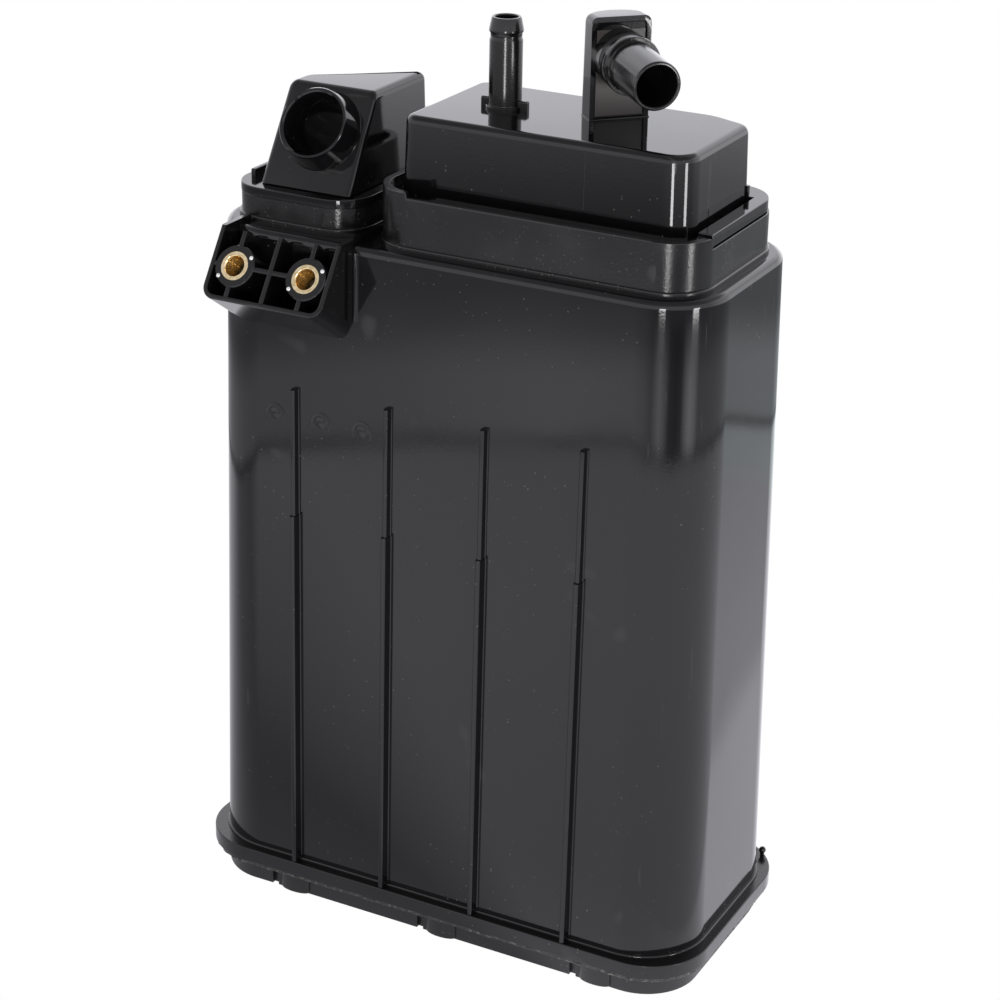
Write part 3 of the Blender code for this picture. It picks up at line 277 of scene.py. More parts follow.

# Painted glint: a near-white metal for small domes on the bosses, in place of lamp highlights on the
# boss rim.
PAINTED_GLINT_METAL, tree, shader, place = new_look("painted_glint_metal")
grain = add_node(tree, "ShaderNodeTexNoise", {"Scale": 1200.0, "Detail": 2.0})
wire(tree, place, grain.inputs["Vector"])
wire(tree, mixed(tree, grain.outputs[0], (0.80, 0.80, 0.78), (0.98, 0.98, 0.96)),
     shader.inputs["Base Color"])
shader.inputs["Metallic"].default_value = 0.7
shader.inputs["Roughness"].default_value = 0.45

FLASH, tree, shader, place = new_look("weld_flash")
crumbs = add_node(tree, "ShaderNodeTexNoise", {"Scale": 650.0, "Detail": 3.0})
wire(tree, place, crumbs.inputs["Vector"])
wire(tree, mixed(tree, ranged(tree, crumbs.outputs[0], 0.52, 0.68),
                 (0.020, 0.020, 0.019), (0.11, 0.104, 0.092)), shader.inputs["Base Color"])
shader.inputs["Roughness"].default_value = 0.45
rough = add_node(tree, "ShaderNodeBump", {"Strength": 0.6, "Distance": 0.0004})
wire(tree, crumbs.outputs[0], rough.inputs["Height"])
wire(tree, rough.outputs["Normal"], shader.inputs["Normal"])


def inner_look(name, dark, light, roughness, scale, metallic=0.0):
    """Plain noise between two tones, for what lies inside."""
    look, tree, shader, place = new_look(name)
    texture = add_node(tree, "ShaderNodeTexNoise", {"Scale": scale, "Detail": 3.0})
    wire(tree, place, texture.inputs["Vector"])
    wire(tree, mixed(tree, texture.outputs[0], dark, light), shader.inputs["Base Color"])
    relief = add_node(tree, "ShaderNodeBump", {"Strength": 0.5, "Distance": 0.0005})
    wire(tree, texture.outputs[0], relief.inputs["Height"])
    wire(tree, relief.outputs["Normal"], shader.inputs["Normal"])
    shader.inputs["Roughness"].default_value = roughness
    shader.inputs["Metallic"].default_value = metallic
    return look


INNER = {
    "felt": inner_look("filter_felt", (0.50, 0.50, 0.48), (0.72, 0.72, 0.69), 0.95, 900.0),
    "carbon": inner_look("activated_carbon", (0.004, 0.004, 0.004), (0.03, 0.03, 0.03), 0.8, 500.0),
    "plate": inner_look("inner_plate", (0.02, 0.02, 0.022), (0.035, 0.035, 0.036), 0.45, 700.0),
    "steel": inner_look("spring_steel", (0.45, 0.45, 0.46), (0.62, 0.62, 0.63), 0.3, 900.0, 1.0)}
for node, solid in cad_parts.items():
    kind = "plate"
    if "filter" in node:
        kind = "felt"
    elif "carbon" in node:
        kind = "carbon"
    elif "spring" in node:
        kind = "steel"
    for place_in_list in solid.material_slots:
        place_in_list.material = INNER[kind]
    if not solid.material_slots:
        solid.data.materials.append(INNER[kind])
print("inner finishes set on", len(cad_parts), "solids")

# %% [markdown]
# ## Shaping helpers
# Most of the canister is drawn outlines pushed upward. An outline is one flat face whose
# corners are rounded by a bevel on its vertices; extruding that face gives the moulding, and
# scaling or moving the upper ring gives the draft. Edges are softened by a second bevel, so
# light catches them as it does on a real moulding.
# %% Helpers for shapes
def outline(bm, corners, radii, z, steps=12):
    """One flat face with rounded corners at a height."""
    face = bm.faces.new([bm.verts.new((x, y, z)) for x, y in corners])
    for vertex, radius in zip(list(face.verts), radii):
        if radius > 0.0:
            bmesh.ops.bevel(
                bm, geom=[vertex], offset=radius, offset_type="OFFSET", affect="VERTICES",
                segments=steps, profile=0.5, material=-1)


def prism(corners, radii, bottom, top, steps=12):
    """An outline pushed upward; gives the mesh and the vertices of its upper ring."""
    bm = bmesh.new()
    outline(bm, corners, radii, bottom, steps)
    pushed = bmesh.ops.extrude_face_region(bm, geom=list(bm.faces))
    upper = [item for item in pushed["geom"] if isinstance(item, bmesh.types.BMVert)]
    bmesh.ops.translate(bm, verts=upper, vec=(0.0, 0.0, top - bottom))
    return bm, upper


def rectangle(left, right, front, rear):
    return [(left, front), (right, front), (right, rear), (left, rear)]


def edges_at(bm, test):
    """Edges whose two ends both pass a test."""
    return [edge for edge in bm.edges if all(test(vertex.co) for vertex in edge.verts)]


def creases(bm, degrees=30.0):
    """Edges where two faces meet at more than an angle."""
    return [edge for edge in bm.edges
            if len(edge.link_faces) == 2 and edge.calc_face_angle() > math.radians(degrees)]


def soften(bm, edges, width, segments=3):
    """A bevel along some edges."""
    bmesh.ops.bevel(
        bm, geom=edges, offset=width, offset_type="OFFSET", affect="EDGES",
        segments=segments, profile=0.5, material=-1)


def spun(profile, steps=64):
    """A closed solid turned about Z from (radius, height) points; its ends lie on the axis."""
    bm = bmesh.new()
    points = [bm.verts.new((radius, 0.0, height)) for radius, height in profile]
    line = [bm.edges.new(pair) for pair in zip(points, points[1:])]
    bmesh.ops.spin(
        bm, geom=points + line, cent=(0, 0, 0), axis=(0, 0, 1), dvec=(0, 0, 0),
        angle=math.tau, steps=steps, use_merge=True)
    bmesh.ops.remove_doubles(bm, verts=bm.verts, dist=1e-6)
    return bm


def clipped(bm, point, normal):
    """What lies behind a plane, closed again."""
    cut = bmesh.ops.bisect_plane(
        bm, geom=list(bm.verts) + list(bm.edges) + list(bm.faces), dist=1e-7,
        plane_co=point, plane_no=normal, clear_outer=True)
    rim = [item for item in cut["geom_cut"] if isinstance(item, bmesh.types.BMEdge)]
    bmesh.ops.edgenet_fill(bm, edges=rim)
    return bm


def add_piece(name, shells, look, finish, *replaced):
    """A named piece from one or more closed shells, riding on the body."""
    mesh = bpy.data.meshes.new(name)
    whole = bmesh.new()
    for shell in shells:
        bmesh.ops.recalc_face_normals(shell, faces=shell.faces)
        part = bpy.data.meshes.new("shell")
        shell.to_mesh(part)
        shell.free()
        whole.from_mesh(part)
        bpy.data.meshes.remove(part)
    gaps = sum(1 for edge in whole.edges if len(edge.link_faces) != 2)
    whole.to_mesh(mesh)
    whole.free()
    mesh.materials.append(look)
    mesh.shade_smooth()
    mesh.set_sharp_from_angle(angle=math.radians(38.0))
    piece = bpy.data.objects.new(name, mesh)
    bpy.context.scene.collection.objects.link(piece)
    even = piece.modifiers.new("even_shading", "WEIGHTED_NORMAL")
    even.keep_sharp = True
    even.weight = 80
    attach(piece, "root")
    if replaced:
        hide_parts(*replaced)
    print(f"{name}: {len(mesh.polygons)} faces, {gaps} open edges")
    return piece

# %% [markdown]
# ## Body
# The body is one deep moulding, wider at its foot so that it leaves the mould. It could be a
# box with a loop cut, but a rounded outline pushed up and scaled at the top gives the draft in
# one step. The shoulder round the roof is a bevel on the upper ring alone, and a slim bead
# rounds the corner where the wall stands on its flange.
# %% Drafted box with its shoulder
BODY_FOOT = 12.4 * MM
BODY_TOP = 207.0 * MM
foot_x, foot_y = 79.1 * MM, 37.25 * MM
top_x, top_y = 75.8 * MM, 34.25 * MM


def body_face(z):
    """Distance of the long faces from the middle at a height."""
    share = (z - BODY_FOOT) / (BODY_TOP - BODY_FOOT)
    return foot_y + (top_y - foot_y) * share


body, upper = prism(
    rectangle(-foot_x, foot_x, -foot_y, foot_y), [19.7 * MM] * 4, BODY_FOOT, BODY_TOP, 20)
bmesh.ops.scale(body, verts=upper, vec=(top_x / foot_x, top_y / foot_y, 1.0))
soften(body, edges_at(body, lambda co: co.z > BODY_TOP - 0.1 * MM), 2.2 * MM, 6)
foot_bead, _ = prism(
    rectangle(-foot_x - 0.6 * MM, foot_x + 0.6 * MM, -foot_y - 0.6 * MM, foot_y + 0.6 * MM),
    [20.3 * MM] * 4, BODY_FOOT - 0.4 * MM, BODY_FOOT + 0.9 * MM, 20)
soften(foot_bead, edges_at(foot_bead, lambda co: co.z > BODY_FOOT), 0.6 * MM, 4)
add_piece("body_box", [body, foot_bead], BODY_BLACK, "body_plastic", "body_shell")

# %% [markdown]
# ## Weld flange
# A flat flange runs round the foot, where the cover is welded on. It is another pushed
# outline with slightly rounded edges, duller than the body because it came from a rougher
# part of the mould.
# %% Flange
flange, _ = prism(
    rectangle(-82.1 * MM, 82.1 * MM, -40.25 * MM, 40.25 * MM), [19.0 * MM] * 4,
    7.8 * MM, BODY_FOOT, 20)
soften(flange, creases(flange), 0.35 * MM, 3)
add_piece("weld_flange", [flange], FLANGE_BLACK, "body_plastic")

# %% [markdown]
# ## Ribs
# Four ribs stiffen each long face: a tall lower part and a shallow upper part that ends below
# the bracket. A rib is drawn as it would look in a section across it: wider at its foot, where
# a small fillet runs into the wall and catches a line of light. That section is pushed upward
# and leans with the drafted face, so it keeps one height above the face all the way up.
# %% Ribs on both long faces
RIB_STEP = 125.0 * MM
RIB_TOP = 163.0 * MM


def rib(x, side, tip, foot, height, bottom, top, edge):
    """A rib on a long face; side is -1 in front and 1 behind."""
    bm = bmesh.new()
    half, tip_half, sunk = foot / 2.0, tip / 2.0, 1.2 * MM
    right = [(half + 0.35 * MM, -sunk), (half + 0.35 * MM, 0.0), (half + 0.08 * MM, 0.09 * MM),
             (half, 0.35 * MM), (tip_half, height)]
    section = right + [(-u, v) for u, v in reversed(right)]
    face = bm.faces.new([
        bm.verts.new((x + u, side * (body_face(bottom) + v), bottom)) for u, v in section])
    pushed = bmesh.ops.extrude_face_region(bm, geom=[face])
    moved = [item for item in pushed["geom"] if isinstance(item, bmesh.types.BMVert)]
    lean = side * (body_face(top) - body_face(bottom))
    bmesh.ops.translate(bm, verts=moved, vec=(0.0, lean, top - bottom))
    proud = [e for e in creases(bm)
             if all(abs(v.co.y) > body_face(v.co.z) + 0.5 * height for v in e.verts)]
    soften(bm, proud, edge, 3)
    return bm


ribs = []
for index in range(4):
    for side in (-1.0, 1.0):
        x = (-45.5 + 30.0 * index) * MM
        ribs.append(rib(
            x, side, 1.5 * MM, 2.1 * MM, 2.6 * MM, BODY_FOOT - 0.5 * MM, RIB_STEP, 0.40 * MM))
        ribs.append(rib(
            x, side, 1.3 * MM, 1.7 * MM, 1.9 * MM, RIB_STEP - 1.0 * MM, RIB_TOP, 0.40 * MM))
add_piece("stiffening_ribs", ribs, BODY_BLACK, "body_plastic")

# %% [markdown]
# ## Collars on the roof
# Two collars stand on the roof. The cap's collar has a lip that is tall on the left, lower
# along the front and absent on the right. The lip is a ring cut by planes a hair apart; the
# vertices beyond each pair of cuts are lowered, which leaves a clean step.
# %% Cap collar with its stepped lip
COLLAR = rectangle(-25.8 * MM, 71.1 * MM, -29.6 * MM, 29.6 * MM)


def inset_rectangle(corners, distance):
    (left, front), (right, rear) = corners[0], corners[2]
    return rectangle(left + distance, right - distance, front + distance, rear - distance)


def collar_block(inset, bottom, top):
    return prism(
        inset_rectangle(COLLAR, inset), [12.5 * MM - inset] * 4, bottom, top, 16)[0]


collar = collar_block(0.0, 205.5 * MM, 223.0 * MM)
roof = [face for face in collar.faces if face.calc_center_median().z > 222.0 * MM]
bmesh.ops.inset_region(collar, faces=roof, thickness=2.2 * MM, depth=0.0, use_even_offset=True)
sunk = bmesh.ops.extrude_face_region(collar, geom=roof)
seat_ring = [item for item in sunk["geom"] if isinstance(item, bmesh.types.BMVert)]
bmesh.ops.delete(collar, geom=roof, context="FACES_ONLY")
bmesh.ops.translate(collar, verts=seat_ring, vec=(0.0, 0.0, -7.2 * MM))
for spot, way in (
        ((-13.7, 0, 0), (1, 0, 0)), ((-13.3, 0, 0), (1, 0, 0)),
        ((0, -18.3, 0), (0, 1, 0)), ((0, -18.7, 0), (0, 1, 0))):
    bmesh.ops.bisect_plane(
        collar, geom=list(collar.verts) + list(collar.edges) + list(collar.faces), dist=1e-7,
        plane_co=Vector(spot) * MM, plane_no=way)
for vertex in collar.verts:
    if vertex.co.z > 220.0 * MM and vertex.co.x > -13.5 * MM:
        vertex.co.z = 221.3 * MM if vertex.co.y < -18.5 * MM else 218.2 * MM
rims = [e for e in creases(collar, 50.0) if all(v.co.z > 218.0 * MM for v in e.verts)]
soften(collar, rims, 0.28 * MM, 2)
collar_foot = collar_block(-0.6 * MM, 206.0 * MM, 208.2 * MM)
soften(collar_foot, edges_at(collar_foot, lambda co: co.z > 208.1 * MM), 0.45 * MM, 3)
add_piece("cap_collar", [collar, collar_foot], COLLAR_BLACK, "body_plastic")

# %% [markdown]
# ## Air collar and rail
# The air housing sits on a lower, narrower collar with a short rail on its left, and its own
# glossy flange closes the collar. All are pushed outlines again, and the foot of the collar
# stands out a little where it meets the roof.
# %% Air collar and rail
air_corners = rectangle(-72.4 * MM, -31.1 * MM, -26.8 * MM, 26.8 * MM)
air_collar, _ = prism(
    inset_rectangle(air_corners, 0.15 * MM), [10.55 * MM] * 4, 205.5 * MM, 213.9 * MM, 16)
soften(air_collar, edges_at(air_collar, lambda co: co.z > 213.8 * MM), 0.2 * MM, 2)
air_foot, _ = prism(
    inset_rectangle(air_corners, -0.6 * MM), [11.3 * MM] * 4, 206.0 * MM, 208.2 * MM, 16)
soften(air_foot, edges_at(air_foot, lambda co: co.z > 208.1 * MM), 0.45 * MM, 3)
rail, _ = prism(
    rectangle(-69.7 * MM, -68.1 * MM, -18.5 * MM, 7.5 * MM), [0.5 * MM] * 4,
    215.0 * MM, 218.8 * MM, 3)
soften(rail, edges_at(rail, lambda co: co.z > 218.7 * MM), 0.4 * MM, 3)
add_piece("air_collar", [air_collar, air_foot, rail], COLLAR_BLACK, "body_plastic")
housing_flange, _ = prism(air_corners, [10.7 * MM] * 4, 213.7 * MM, 216.4 * MM, 16)
soften(housing_flange, creases(housing_flange), 0.3 * MM, 3)
add_piece("housing_flange", [housing_flange], HOUSING_BLACK, "housing_plastic")

# %% [markdown]
# ## Bracket
# The bracket is an open box that leans back from the body, with a cross of ribs and two
# bosses. Cutting pockets out of a block would work, but walls and ribs as shells of their own
# are simpler and each keeps its soft edges. They are drawn upright in the bracket's own axes,
# then turned into place and cut off at the top, the walls level and the ribs falling rearward.
# %% Bracket shells
TILT = math.radians(34.0)
BRACKET_PLACE = Matrix.Translation((-47.0 * MM, -50.6 * MM, 191.0 * MM)) @ Matrix.Rotation(
    math.radians(90.0) - TILT, 4, "X")
REACH = 26.0 * MM
RUN = 34.0 * MM
HALF = 19.1 * MM
WALL = 1.4 * MM
BOSS_X = 11.3 * MM
BOSS_UP = 10.25 * MM


def leaning(bm, fall=0.0):
    """The shell turned into the bracket's place and cut at the top, level or falling rearward."""
    bmesh.ops.transform(bm, matrix=BRACKET_PLACE, verts=bm.verts)
    return clipped(bm, (0.0, -38.9 * MM, (208.4 - fall) * MM), (0.0, fall, 1.0))


def front_edges(bm):
    return [e for e in creases(bm) if all(v.co.z > -0.01 * MM for v in e.verts)]


wall, _ = prism(
    [(-HALF, RUN), (-HALF, 0.0), (HALF, 0.0), (HALF, RUN), (HALF - WALL, RUN),
     (HALF - WALL, WALL), (-HALF + WALL, WALL), (-HALF + WALL, RUN)],
    [0, 3.8 * MM, 3.8 * MM, 0, 0, 2.4 * MM, 2.4 * MM, 0], -REACH, 0.0, 8)
soften(wall, front_edges(wall), 0.3 * MM, 2)
shells = [leaning(wall)]
NEAR_BOSS = 5.2 * MM
boss_low, boss_high = BOSS_UP - NEAR_BOSS, BOSS_UP + NEAR_BOSS
thin = WALL / 2.0
webs = [
    (-thin, thin, thin, RUN),
    (-BOSS_X - thin, -BOSS_X + thin, thin, boss_low),
    (-BOSS_X - thin, -BOSS_X + thin, boss_high, RUN),
    (BOSS_X - thin, BOSS_X + thin, thin, boss_low),
    (BOSS_X - thin, BOSS_X + thin, boss_high, RUN),
    (-HALF + thin, -BOSS_X - NEAR_BOSS, BOSS_UP - thin, BOSS_UP + thin),
    (-BOSS_X + NEAR_BOSS, BOSS_X - NEAR_BOSS, BOSS_UP - thin, BOSS_UP + thin),
    (BOSS_X + NEAR_BOSS, HALF - thin, BOSS_UP - thin, BOSS_UP + thin)]
for index, (left, right, low, high) in enumerate(webs):
    web, _ = prism(
        rectangle(left, right, low, high), [0] * 4, -REACH, (-0.12 - 0.03 * (index > 4)) * MM)
    soften(web, edges_at(web, lambda co: co.z > -0.2 * MM), 0.2 * MM, 2)
    shells.append(leaning(web, 0.7))
for u in (-BOSS_X, BOSS_X):
    boss = spun([
        (0.0, -REACH), (6.1 * MM, -REACH), (6.1 * MM, -0.3 * MM), (5.8 * MM, 0.0),
        (4.25 * MM, 0.0), (4.25 * MM, -9.3 * MM), (0.0, -9.3 * MM)], 48)
    bmesh.ops.translate(boss, verts=boss.verts, vec=(u, BOSS_UP, 0.0))
    shells.append(leaning(boss))
add_piece("bracket", shells, BRACKET_BLACK, "body_plastic")

# %% [markdown]
# ## Brass inserts
# Each boss holds a turned brass insert with a thread. A true helix would cost many faces for
# a few pixels, so the thread is a row of grooves in the spun profile, with a chamfer in front.
# The profile comes back to its first point, which makes a sleeve that is open at both ends.
# Two small light metal domes stand in each boss beside its insert: painted glints, in place of lamp
# highlights on the boss's rim.
# %% Threaded inserts
def threaded_insert(name, u, node):
    profile = [(4.2 * MM, -9.0 * MM), (4.2 * MM, -0.12 * MM), (4.1 * MM, 0.0),
               (3.10 * MM, 0.0), (3.0 * MM, -0.08 * MM), (2.9 * MM, -0.45 * MM)]
    for turn in range(8):
        depth = -0.45 * MM - turn * 1.0 * MM
        profile.append((2.72 * MM, depth - 0.4 * MM))
        profile.append((2.72 * MM, depth - 0.6 * MM))
        profile.append((2.9 * MM, depth - 1.0 * MM))
    profile += [(2.9 * MM, -9.0 * MM), profile[0]]
    bm = spun(profile, 48)
    bmesh.ops.translate(bm, verts=bm.verts, vec=(u, BOSS_UP, 0.0))
    bmesh.ops.transform(bm, matrix=BRACKET_PLACE, verts=bm.verts)
    add_piece(name, [bm], BRASS, "brass", node)


threaded_insert("brass_insert_left", -BOSS_X, "insert_left")
threaded_insert("brass_insert_right", BOSS_X, "insert_right")
# Painted glints: two light domes on each boss's rim, where the lamps' highlights fall.
glint_domes = []
for u in (-BOSS_X, BOSS_X):
    for turn in (34.0, 220.0):
        dome = spun([(0.0, -0.6 * MM), (0.6 * MM, -0.6 * MM), (0.6 * MM, 0.0), (0.45 * MM, 0.18 * MM),
                     (0.0, 0.26 * MM)], 16)
        bmesh.ops.translate(dome, verts=dome.verts, vec=(
            u + 5.35 * MM * math.cos(math.radians(turn)),
            BOSS_UP + 5.35 * MM * math.sin(math.radians(turn)), 0.0))
        bmesh.ops.transform(dome, matrix=BRACKET_PLACE, verts=dome.verts)
        glint_domes.append(dome)
add_piece("boss_painted_glints", glint_domes, PAINTED_GLINT_METAL, "brass")

# %% [markdown]
# ## Bead and pip
# A slim bead runs down the front beside the bracket, and a small ball on a stalk stands on the
# rear corner of the flange, left by the mould. Three faint round marks of the mould lie on the
# front, kept bare. The bead is a short rib, and the pip and the marks are spun.
# %% Bead and pip
bead = rib(-26.3 * MM, -1.0, 0.9 * MM, 1.4 * MM, 0.7 * MM, 186.0 * MM, 205.6 * MM, 0.25 * MM)
pip = spun([(0.0, -1.0 * MM), (0.66 * MM, -1.0 * MM), (0.66 * MM, 1.0 * MM), (0.95 * MM, 1.35 * MM),
            (1.1 * MM, 1.9 * MM), (0.95 * MM, 2.45 * MM), (0.55 * MM, 2.85 * MM), (0.0, 3.0 * MM)], 20)
bmesh.ops.translate(pip, verts=pip.verts, vec=(76.2 * MM, 33.5 * MM, BODY_FOOT))
clocks = []
for x in (-52.4, -37.5, -24.2):
    clock = spun([(0.0, -0.6 * MM), (3.4 * MM, -0.6 * MM), (3.4 * MM, 0.02 * MM), (3.3 * MM, 0.06 * MM),
                  (2.8 * MM, 0.06 * MM), (2.7 * MM, 0.0), (1.6 * MM, 0.0), (1.5 * MM, 0.06 * MM),
                  (0.0, 0.06 * MM)], 32)
    bmesh.ops.rotate(clock, cent=(0, 0, 0), verts=clock.verts, matrix=Matrix.Rotation(
        math.radians(90.9), 3, "X"))
    bmesh.ops.translate(clock, verts=clock.verts, vec=(x * MM, -body_face(154.0 * MM), 154.0 * MM))
    clocks.append(clock)
add_piece("bead_and_pip", [bead, pip, *clocks], BODY_BLACK, "body_plastic")

# %% [markdown]
# ## Base cover
# The cover is a tray with three lobes and a slot beside each. The slots are drawn into its
# outline, which is simpler than cutting them later; the lobes are flattened cylinders.
# %% Skirt, slots and lobes
SKIRT_X, SKIRT_Y = 78.2 * MM, 36.35 * MM
skirt_points = [(-SKIRT_X, -SKIRT_Y)]
skirt_radii = [16.5 * MM]
for side in (-1.0, 1.0):
    for index in range(3):
        x = (-47.0 + 50.5 * (index if side < 0 else 2 - index) - 7.2) * MM
        for dx, depth in ((1.0, 0.0), (1.0, 1.2), (-1.0, 1.2), (-1.0, 0.0)):
            skirt_points.append((x + side * dx * MM, side * (SKIRT_Y - depth * MM)))
            skirt_radii.append(0.0)
    skirt_points.append((SKIRT_X, -SKIRT_Y) if side < 0 else (-SKIRT_X, SKIRT_Y))
    skirt_radii.append(16.5 * MM)
    if side < 0:
        skirt_points.append((SKIRT_X, SKIRT_Y))
        skirt_radii.append(16.5 * MM)
skirt, _ = prism(skirt_points, skirt_radii, 0.0, 7.0 * MM, 16)
soften(skirt, edges_at(skirt, lambda co: co.z < 0.1 * MM), 0.35 * MM, 2)
cover_shells = [skirt]
for index in range(3):
    for side in (-1.0, 1.0):
        lobe = bmesh.new()
        bmesh.ops.create_cone(
            lobe, cap_ends=True, segments=40, radius1=4.9 * MM, radius2=4.9 * MM, depth=6.6 * MM)
        soften(lobe, creases(lobe), 0.5 * MM, 3)
        bmesh.ops.scale(lobe, verts=lobe.verts, vec=(1.0, 1.8 / 4.9, 1.0))
        bmesh.ops.translate(lobe, verts=lobe.verts, vec=(
            (-47.0 + 50.5 * index) * MM, side * SKIRT_Y, 3.7 * MM))
        cover_shells.append(lobe)
add_piece("cover_tray", cover_shells, COVER_BLACK, "cover_plastic", "base_cover")

# %% [markdown]
# ## Weld flash
# Plastic squeezed out between flange and cover and set as an uneven bead. A narrow prism is
# cut into many short lengths and each vertex is pushed in or out by smooth noise, which is
# seeded by its place and so comes out the same each time.
# %% Weld flash
flash, _ = prism(
    rectangle(-81.1 * MM, 81.1 * MM, -39.25 * MM, 39.25 * MM), [18.2 * MM] * 4,
    6.5 * MM, 8.0 * MM, 20)
long_edges = [e for e in flash.edges if e.calc_length() > 20.0 * MM]
bmesh.ops.subdivide_edges(flash, edges=long_edges, cuts=110)
walls = [e for e in flash.edges if abs(e.verts[0].co.z - e.verts[1].co.z) > 1.0 * MM]
bmesh.ops.subdivide_edges(flash, edges=walls, cuts=3)
for vertex in flash.verts:
    if abs(vertex.co.z - 7.25 * MM) < 0.6 * MM:
        swell = 0.55 + 0.8 * noise.noise(vertex.co * 330.0) + 0.6 * noise.noise(vertex.co * 900.0)
        outward = Vector((vertex.co.x / 4.0, vertex.co.y, 0.0)).normalized()
        vertex.co += outward * min(max(swell, 0.0), 1.0) * 0.85 * MM
add_piece("weld_flash_bead", [flash], FLASH, "cover_plastic")

# %% [markdown]
# ## Cap
# The cap is a shallow box on its own flange, with the rear right corner cut off. Its corners
# are few, so it is drawn with five corners, pushed up, drawn in by the draft and softened
# round the top.
# %% Cap box and its flange
cap_corners = [
    (-20.3 * MM, -21.3 * MM), (64.9 * MM, -21.3 * MM), (64.9 * MM, 20.0 * MM),
    (52.6 * MM, 25.0 * MM), (-20.3 * MM, 25.0 * MM)]
CAP_TOP = 241.6 * MM
cap_box, upper = prism(
    cap_corners, [4.0 * MM, 7.5 * MM, 2.6 * MM, 2.6 * MM, 4.0 * MM], 219.0 * MM, CAP_TOP, 12)
centre = Vector((21.9 * MM, 1.85 * MM, 0.0))
bmesh.ops.scale(
    cap_box, verts=upper, vec=(1.0 - 0.5 / 42.2, 1.0 - 0.5 / 23.2, 1.0),
    space=Matrix.Translation(-centre))
soften(cap_box, edges_at(cap_box, lambda co: co.z > CAP_TOP - 0.1 * MM), 2.1 * MM, 6)
cap_rim = collar_block(2.5 * MM, 216.2 * MM, 219.9 * MM)
soften(cap_rim, edges_at(cap_rim, lambda co: co.z > 219.8 * MM), 0.3 * MM, 2)
plate, _ = prism(
    [(66.5 * MM, -18.0 * MM), (70.7 * MM, -18.0 * MM), (70.7 * MM, 29.2 * MM),
     (-13.0 * MM, 29.2 * MM), (-13.0 * MM, 23.0 * MM), (50.0 * MM, 23.0 * MM),
     (60.0 * MM, 19.0 * MM), (66.5 * MM, 19.0 * MM)],
    [0, 0, 12.1 * MM, 0, 0, 0, 0, 0], 218.5 * MM, 221.9 * MM, 16)
soften(plate, creases(plate), 0.3 * MM, 2)
tab, _ = prism(
    rectangle(63.0 * MM, 65.45 * MM, 17.6 * MM, 18.8 * MM), [0.3 * MM] * 4,
    220.0 * MM, 225.2 * MM, 3)
cap_shells = [cap_box, cap_rim, plate, tab]
for left, right, front, rear in (
        (34.8, 35.1, -21.34, -20.0), (63.0, 64.97, -7.75, -7.42)):
    mould_line, top_ring = prism(
        rectangle(left * MM, right * MM, front * MM, rear * MM), [0] * 4,
        220.4 * MM, CAP_TOP - 2.2 * MM)
    bmesh.ops.translate(mould_line, verts=top_ring, vec=(
        (-0.44 * MM if left > 60.0 else 0.0), (0.43 * MM if left < 60.0 else 0.0), 0.0))
    cap_shells.append(mould_line)
add_piece("cap_box", cap_shells, CAP_BLACK, "cap_plastic", "tank_cap")

# %% [markdown]
# ## Purge nipple
# A slim pipe with a barb stands on the cap, with a foot and two small lugs. Anything round is
# spun from its profile; the bore is part of the same profile, so the pipe is one closed shell.
# %% Purge nipple
nipple = spun([
    (0.0, -1.0 * MM), (5.3 * MM, -1.0 * MM), (5.3 * MM, 0.7 * MM), (5.1 * MM, 0.95 * MM),
    (4.6 * MM, 1.0 * MM), (4.53 * MM, 1.2 * MM), (4.53 * MM, 18.7 * MM), (4.3 * MM, 19.5 * MM),
    (4.3 * MM, 20.5 * MM), (4.65 * MM, 21.0 * MM), (4.7 * MM, 21.3 * MM), (4.65 * MM, 21.9 * MM),
    (4.1 * MM, 24.5 * MM), (3.85 * MM, 24.9 * MM), (3.3 * MM, 24.9 * MM), (3.0 * MM, 24.5 * MM),
    (3.0 * MM, 0.0), (0.0, 0.0)], 56)
lugs, _ = prism(
    rectangle(-7.0 * MM, 7.0 * MM, -1.1 * MM, 1.1 * MM), [0.5 * MM] * 4, -1.0 * MM, 2.6 * MM, 4)
soften(lugs, edges_at(lugs, lambda co: co.z > 2.5 * MM), 0.5 * MM, 3)
for shell in (nipple, lugs):
    bmesh.ops.translate(shell, verts=shell.verts, vec=(0.3 * MM, 0.5 * MM, CAP_TOP))
add_piece("purge_nipple", [nipple, lugs], PIPE_BLACK, "cap_plastic")

# %% [markdown]
# ## Port tower
# The tank port leaves a tower that is flat in front and round behind. Rounding the two rear
# corners of a rectangle until they meet gives the round back, and the flat front gets a
# sunk panel by two insets. The tower is drawn on its own axes and then turned.
# %% Tower
TOWER = Matrix.Translation((31.7 * MM, 6.1 * MM, 0.0)) @ Matrix.Rotation(math.radians(46.0), 4, "Z")
TOWER_TOP = 269.2 * MM
tower_half = 8.43 * MM
tower, upper = prism(
    rectangle(-tower_half, tower_half, 0.0, 11.2 * MM / 0.72),
    [0, 0, tower_half - 0.02 * MM, tower_half - 0.02 * MM], CAP_TOP - 1.0 * MM, TOWER_TOP, 14)
bmesh.ops.scale(tower, verts=tower.verts, vec=(1.0, 0.72, 1.0))
bmesh.ops.scale(tower, verts=upper, vec=(1.0, 9.7 / 11.2, 1.0))
crown = [e for e in edges_at(tower, lambda co: co.z > TOWER_TOP - 0.1 * MM)
         if not all(v.co.y < 0.1 * MM for v in e.verts)]
soften(tower, crown, 1.9 * MM, 6)
face_rim = [e for e in creases(tower)
            if all(v.co.y < 0.01 * MM and v.co.z > CAP_TOP for v in e.verts)]
soften(tower, face_rim, 0.3 * MM, 2)
tower.normal_update()
panel = max(tower.faces, key=lambda face: -face.normal.y * face.calc_area())
bmesh.ops.inset_region(tower, faces=[panel], thickness=1.2 * MM, depth=0.0, use_even_offset=True)
bmesh.ops.inset_region(
    tower, faces=[panel], thickness=0.3 * MM, depth=-0.5 * MM, use_even_offset=True)
